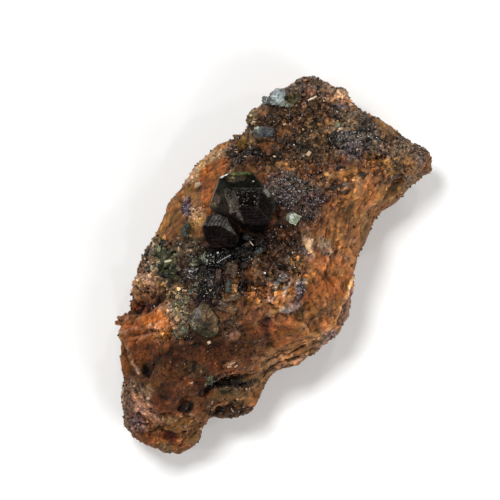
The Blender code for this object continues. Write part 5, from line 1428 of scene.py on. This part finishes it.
paleFlecks = [
    (6.0, 25.0, 1.5, 0.30, 0.30, 28, 5, 0.35, "cream"), (5.3, 16.5, 1.1, 0.55, 0.25, 55, 20, 0.30, "paleGrey"),
    (9.8, 20.9, 0.9, 0.8, 0.4, 80, 15, 0.3, "paleGreen"), (10.2, 20.4, 0.6, 0.4, 0.3, 20, 15, 0.3, "cream"),
    (-7.3, 0.9, 2.4, 0.09, 0.09, 29, 4, 0.5, "needle"), (-3.2, 3.2, 0.9, 0.16, 0.16, -50, 5, 0.4, "paleGrey"),
    (-9.5, -11.6, 0.5, 0.45, 0.35, 20, 10, 0.15, "paleGrey"),
    (-12.2, -17.7, 0.5, 0.22, 0.2, 10, 0, 0.12, "paleGrey"),
    (-11.2, 12.1, 0.75, 0.7, 0.5, 30, 0, 0.2, "paleGrey"), (-11.7, 8.2, 1.1, 0.4, 0.3, -20, 0, 0.2, "cream"),
    (-22.5, -18.9, 1.4, 0.6, 0.5, 84, 0, 0.05, "paleGrey"), (7.8, 24.9, 0.7, 0.3, 0.2, 60, 10, 0.2, "cream"),
    (12.9, 17.2, 0.6, 0.4, 0.3, 0, 20, 0.2, "cream"), (4.6, 20.3, 0.32, 0.3, 0.3, 0, 0, 0.3, "cream"),
    (5.9, 20.0, 0.3, 0.3, 0.3, 0, 0, 0.3, "cream"), (-4.1, 16.1, 0.42, 0.4, 0.3, 0, 0, 0.3, "paleGrey"),
    (-5.5, 16.9, 0.5, 0.3, 0.3, 0, 0, 0.25, "paleGrey"), (-3.0, 12.4, 0.32, 0.14, 0.14, 45, 0, 0.12, "cream"),
    (-9.3, -3.8, 0.35, 0.3, 0.3, 0, 0, 0.25, "cream"), (1.8, 21.1, 0.45, 0.3, 0.3, 20, 10, 0.25, "paleGrey"),
    (0.3, 16.2, 0.5, 0.25, 0.2, -10, 10, 0.2, "cream"), (-13.1, -3.9, 0.9, 0.5, 0.3, 0, 10, 0.2, "pinkTan"),
    (-6.1, -22.0, 0.7, 0.16, 0.16, -60, 5, 0.2, "paleVein"), (-6.0, -14.8, 0.9, 0.2, 0.2, 28, 5, 0.1, "paleVein"),
    (-6.5, -15.3, 0.7, 0.3, 0.2, 8, 5, 0.08, "pinkTan"), (-5.5, -15.2, 0.6, 0.22, 0.2, 40, 5, 0.1, "paleVein"),
]


prismShape = {"foot": 0.62, "head": 0.5, "bevel": 0.12, "uneven": 0.035, "shade": (0.7, 1.3)}


def addPrism(bm, x, y, length, width, thick, turn, pitch, rise, tone, sides, seed):
    hit = rockTree.ray_cast(Vector((x, y, 60)), Vector((0, 0, -1)))[0] or rockTree.find_nearest(Vector((x, y, 8)))[0]
    rng = np.random.default_rng(seed)
    block = bmesh.new()
    colour = block.verts.layers.float_color.new("tint")
    bmesh.ops.create_cone(
        block, cap_ends=True, segments=sides, radius1=prismShape["foot"], radius2=prismShape["head"], depth=1
    )
    quarter = Matrix.Rotation(radians(180 / sides), 4, "Z")
    place = Matrix.Translation((hit.x, hit.y, hit.z + rise - thick / 2))
    place = place @ Euler((0, radians(90 - pitch), radians(turn))).to_matrix().to_4x4()
    place = place @ Matrix.Diagonal((thick, width, length, 1)) @ quarter
    bmesh.ops.transform(block, matrix=place, verts=block.verts)
    bevel = prismShape["bevel"] * min(width, thick)
    bmesh.ops.bevel(block, geom=block.edges[:], offset=bevel, segments=1, affect="EDGES", profile=0.5)
    bmesh.ops.subdivide_edges(block, edges=block.edges[:], cuts=2, use_grid_fill=True)
    for vert in block.verts:
        vert.co += Vector(rng.normal(0, prismShape["uneven"] * min(width, thick), 3))
        shade = rng.uniform(*prismShape["shade"])
        vert[colour] = (*(part * shade for part in tones[tone]), 1)
    bmesh.ops.recalc_face_normals(block, faces=block.faces)
    mesh = meshFrom(block, "prism")
    bm.from_mesh(mesh)
    bpy.data.meshes.remove(mesh)


def makePrisms(name, rows, sides, finish):
    bm = bmesh.new()
    bm.verts.layers.float_color.new("tint")
    for seed, row in enumerate(rows):
        addPrism(bm, *row, sides, seed)
    bmesh.ops.scale(bm, vec=(mm, mm, mm), verts=bm.verts)
    return finishPiece(name, meshFrom(bm, name), stones[finish], (), False)


makePrisms("stubbyCrystals", stubbyCrystals, 4, "stubby")
makePrisms("paleFlecks", paleFlecks, 6, "paleFleck")


# floor, light and camera, in metres; where the camera looks and its height over that are in millimetres
stageSettings = {
    "floorSize": 1.6, "floorTone": (0.90, 0.90, 0.89), "worldTone": (1.0, 1.0, 1.0), "worldLight": 0.22,
    "look": (-3.4, 2.2, 18.0), "cameraHeight": 900, "lens": 432, "sensor": 36, "nearest": 0.01,
}
# name, place, size, power
studioLights = [
    ("keyLight", (-0.20, 0.28, 0.88), 0.24, 5.8), ("fillLight", (0.45, -0.40, 0.70), 0.50, 3.4),
    ("rimLight", (0.10, 0.75, 0.30), 0.25, 1.0), ("leftGlint", (-0.58, -0.08, 0.74), 0.06, 0.6),
    ("lowGlint", (0.05, -0.56, 0.80), 0.06, 0.6), ("highGlint", (0.22, 0.50, 0.76), 0.06, 0.6),
    ("rightGlint", (0.62, 0.20, 0.70), 0.06, 0.5),
]


def makeStage():
    bm = bmesh.new()
    bmesh.ops.create_grid(bm, x_segments=1, y_segments=1, size=stageSettings["floorSize"] / 2)
    mesh = meshFrom(bm, "floor")
    material = bpy.data.materials.new("paleFloor")
    material.use_nodes = True
    shader = material.node_tree.nodes["Principled BSDF"]
    shader.inputs["Base Color"].default_value = (*stageSettings["floorTone"], 1)
    shader.inputs["Roughness"].default_value = 0.9
    mesh.materials.append(material)
    floor = bpy.data.objects.new("floor", mesh)
    sceneCollection.objects.link(floor)
    world = bpy.data.worlds.new("studio")
    bpy.context.scene.world = world
    world.use_nodes = True
    background = world.node_tree.nodes["Background"]
    background.inputs["Color"].default_value = (*stageSettings["worldTone"], 1)
    background.inputs["Strength"].default_value = stageSettings["worldLight"]


def makeLights():
    for name, place, size, power in studioLights:
        light = bpy.data.lights.new(name, "AREA")
        light.shape = "DISK"
        light.size = size
        light.energy = power
        lamp = bpy.data.objects.new(name, light)
        sceneCollection.objects.link(lamp)
        lamp.location = place
        lamp.rotation_euler = (-Vector(place)).to_track_quat("-Z", "Y").to_euler()
        lamp.visible_camera = False


def makeCamera():
    camera = bpy.data.cameras.new("camera")
    camera.lens = stageSettings["lens"]
    camera.sensor_width = stageSettings["sensor"]
    camera.clip_start = stageSettings["nearest"]
    item = bpy.data.objects.new("camera", camera)
    sceneCollection.objects.link(item)
    x, y, z = stageSettings["look"]
    item.location = Vector((x, y, z + stageSettings["cameraHeight"])) * mm
    bpy.context.scene.camera = item


bpy.context.scene.view_settings.view_transform = "Standard"
makeStage()
makeLights()
makeCamera()
print("stage ready")
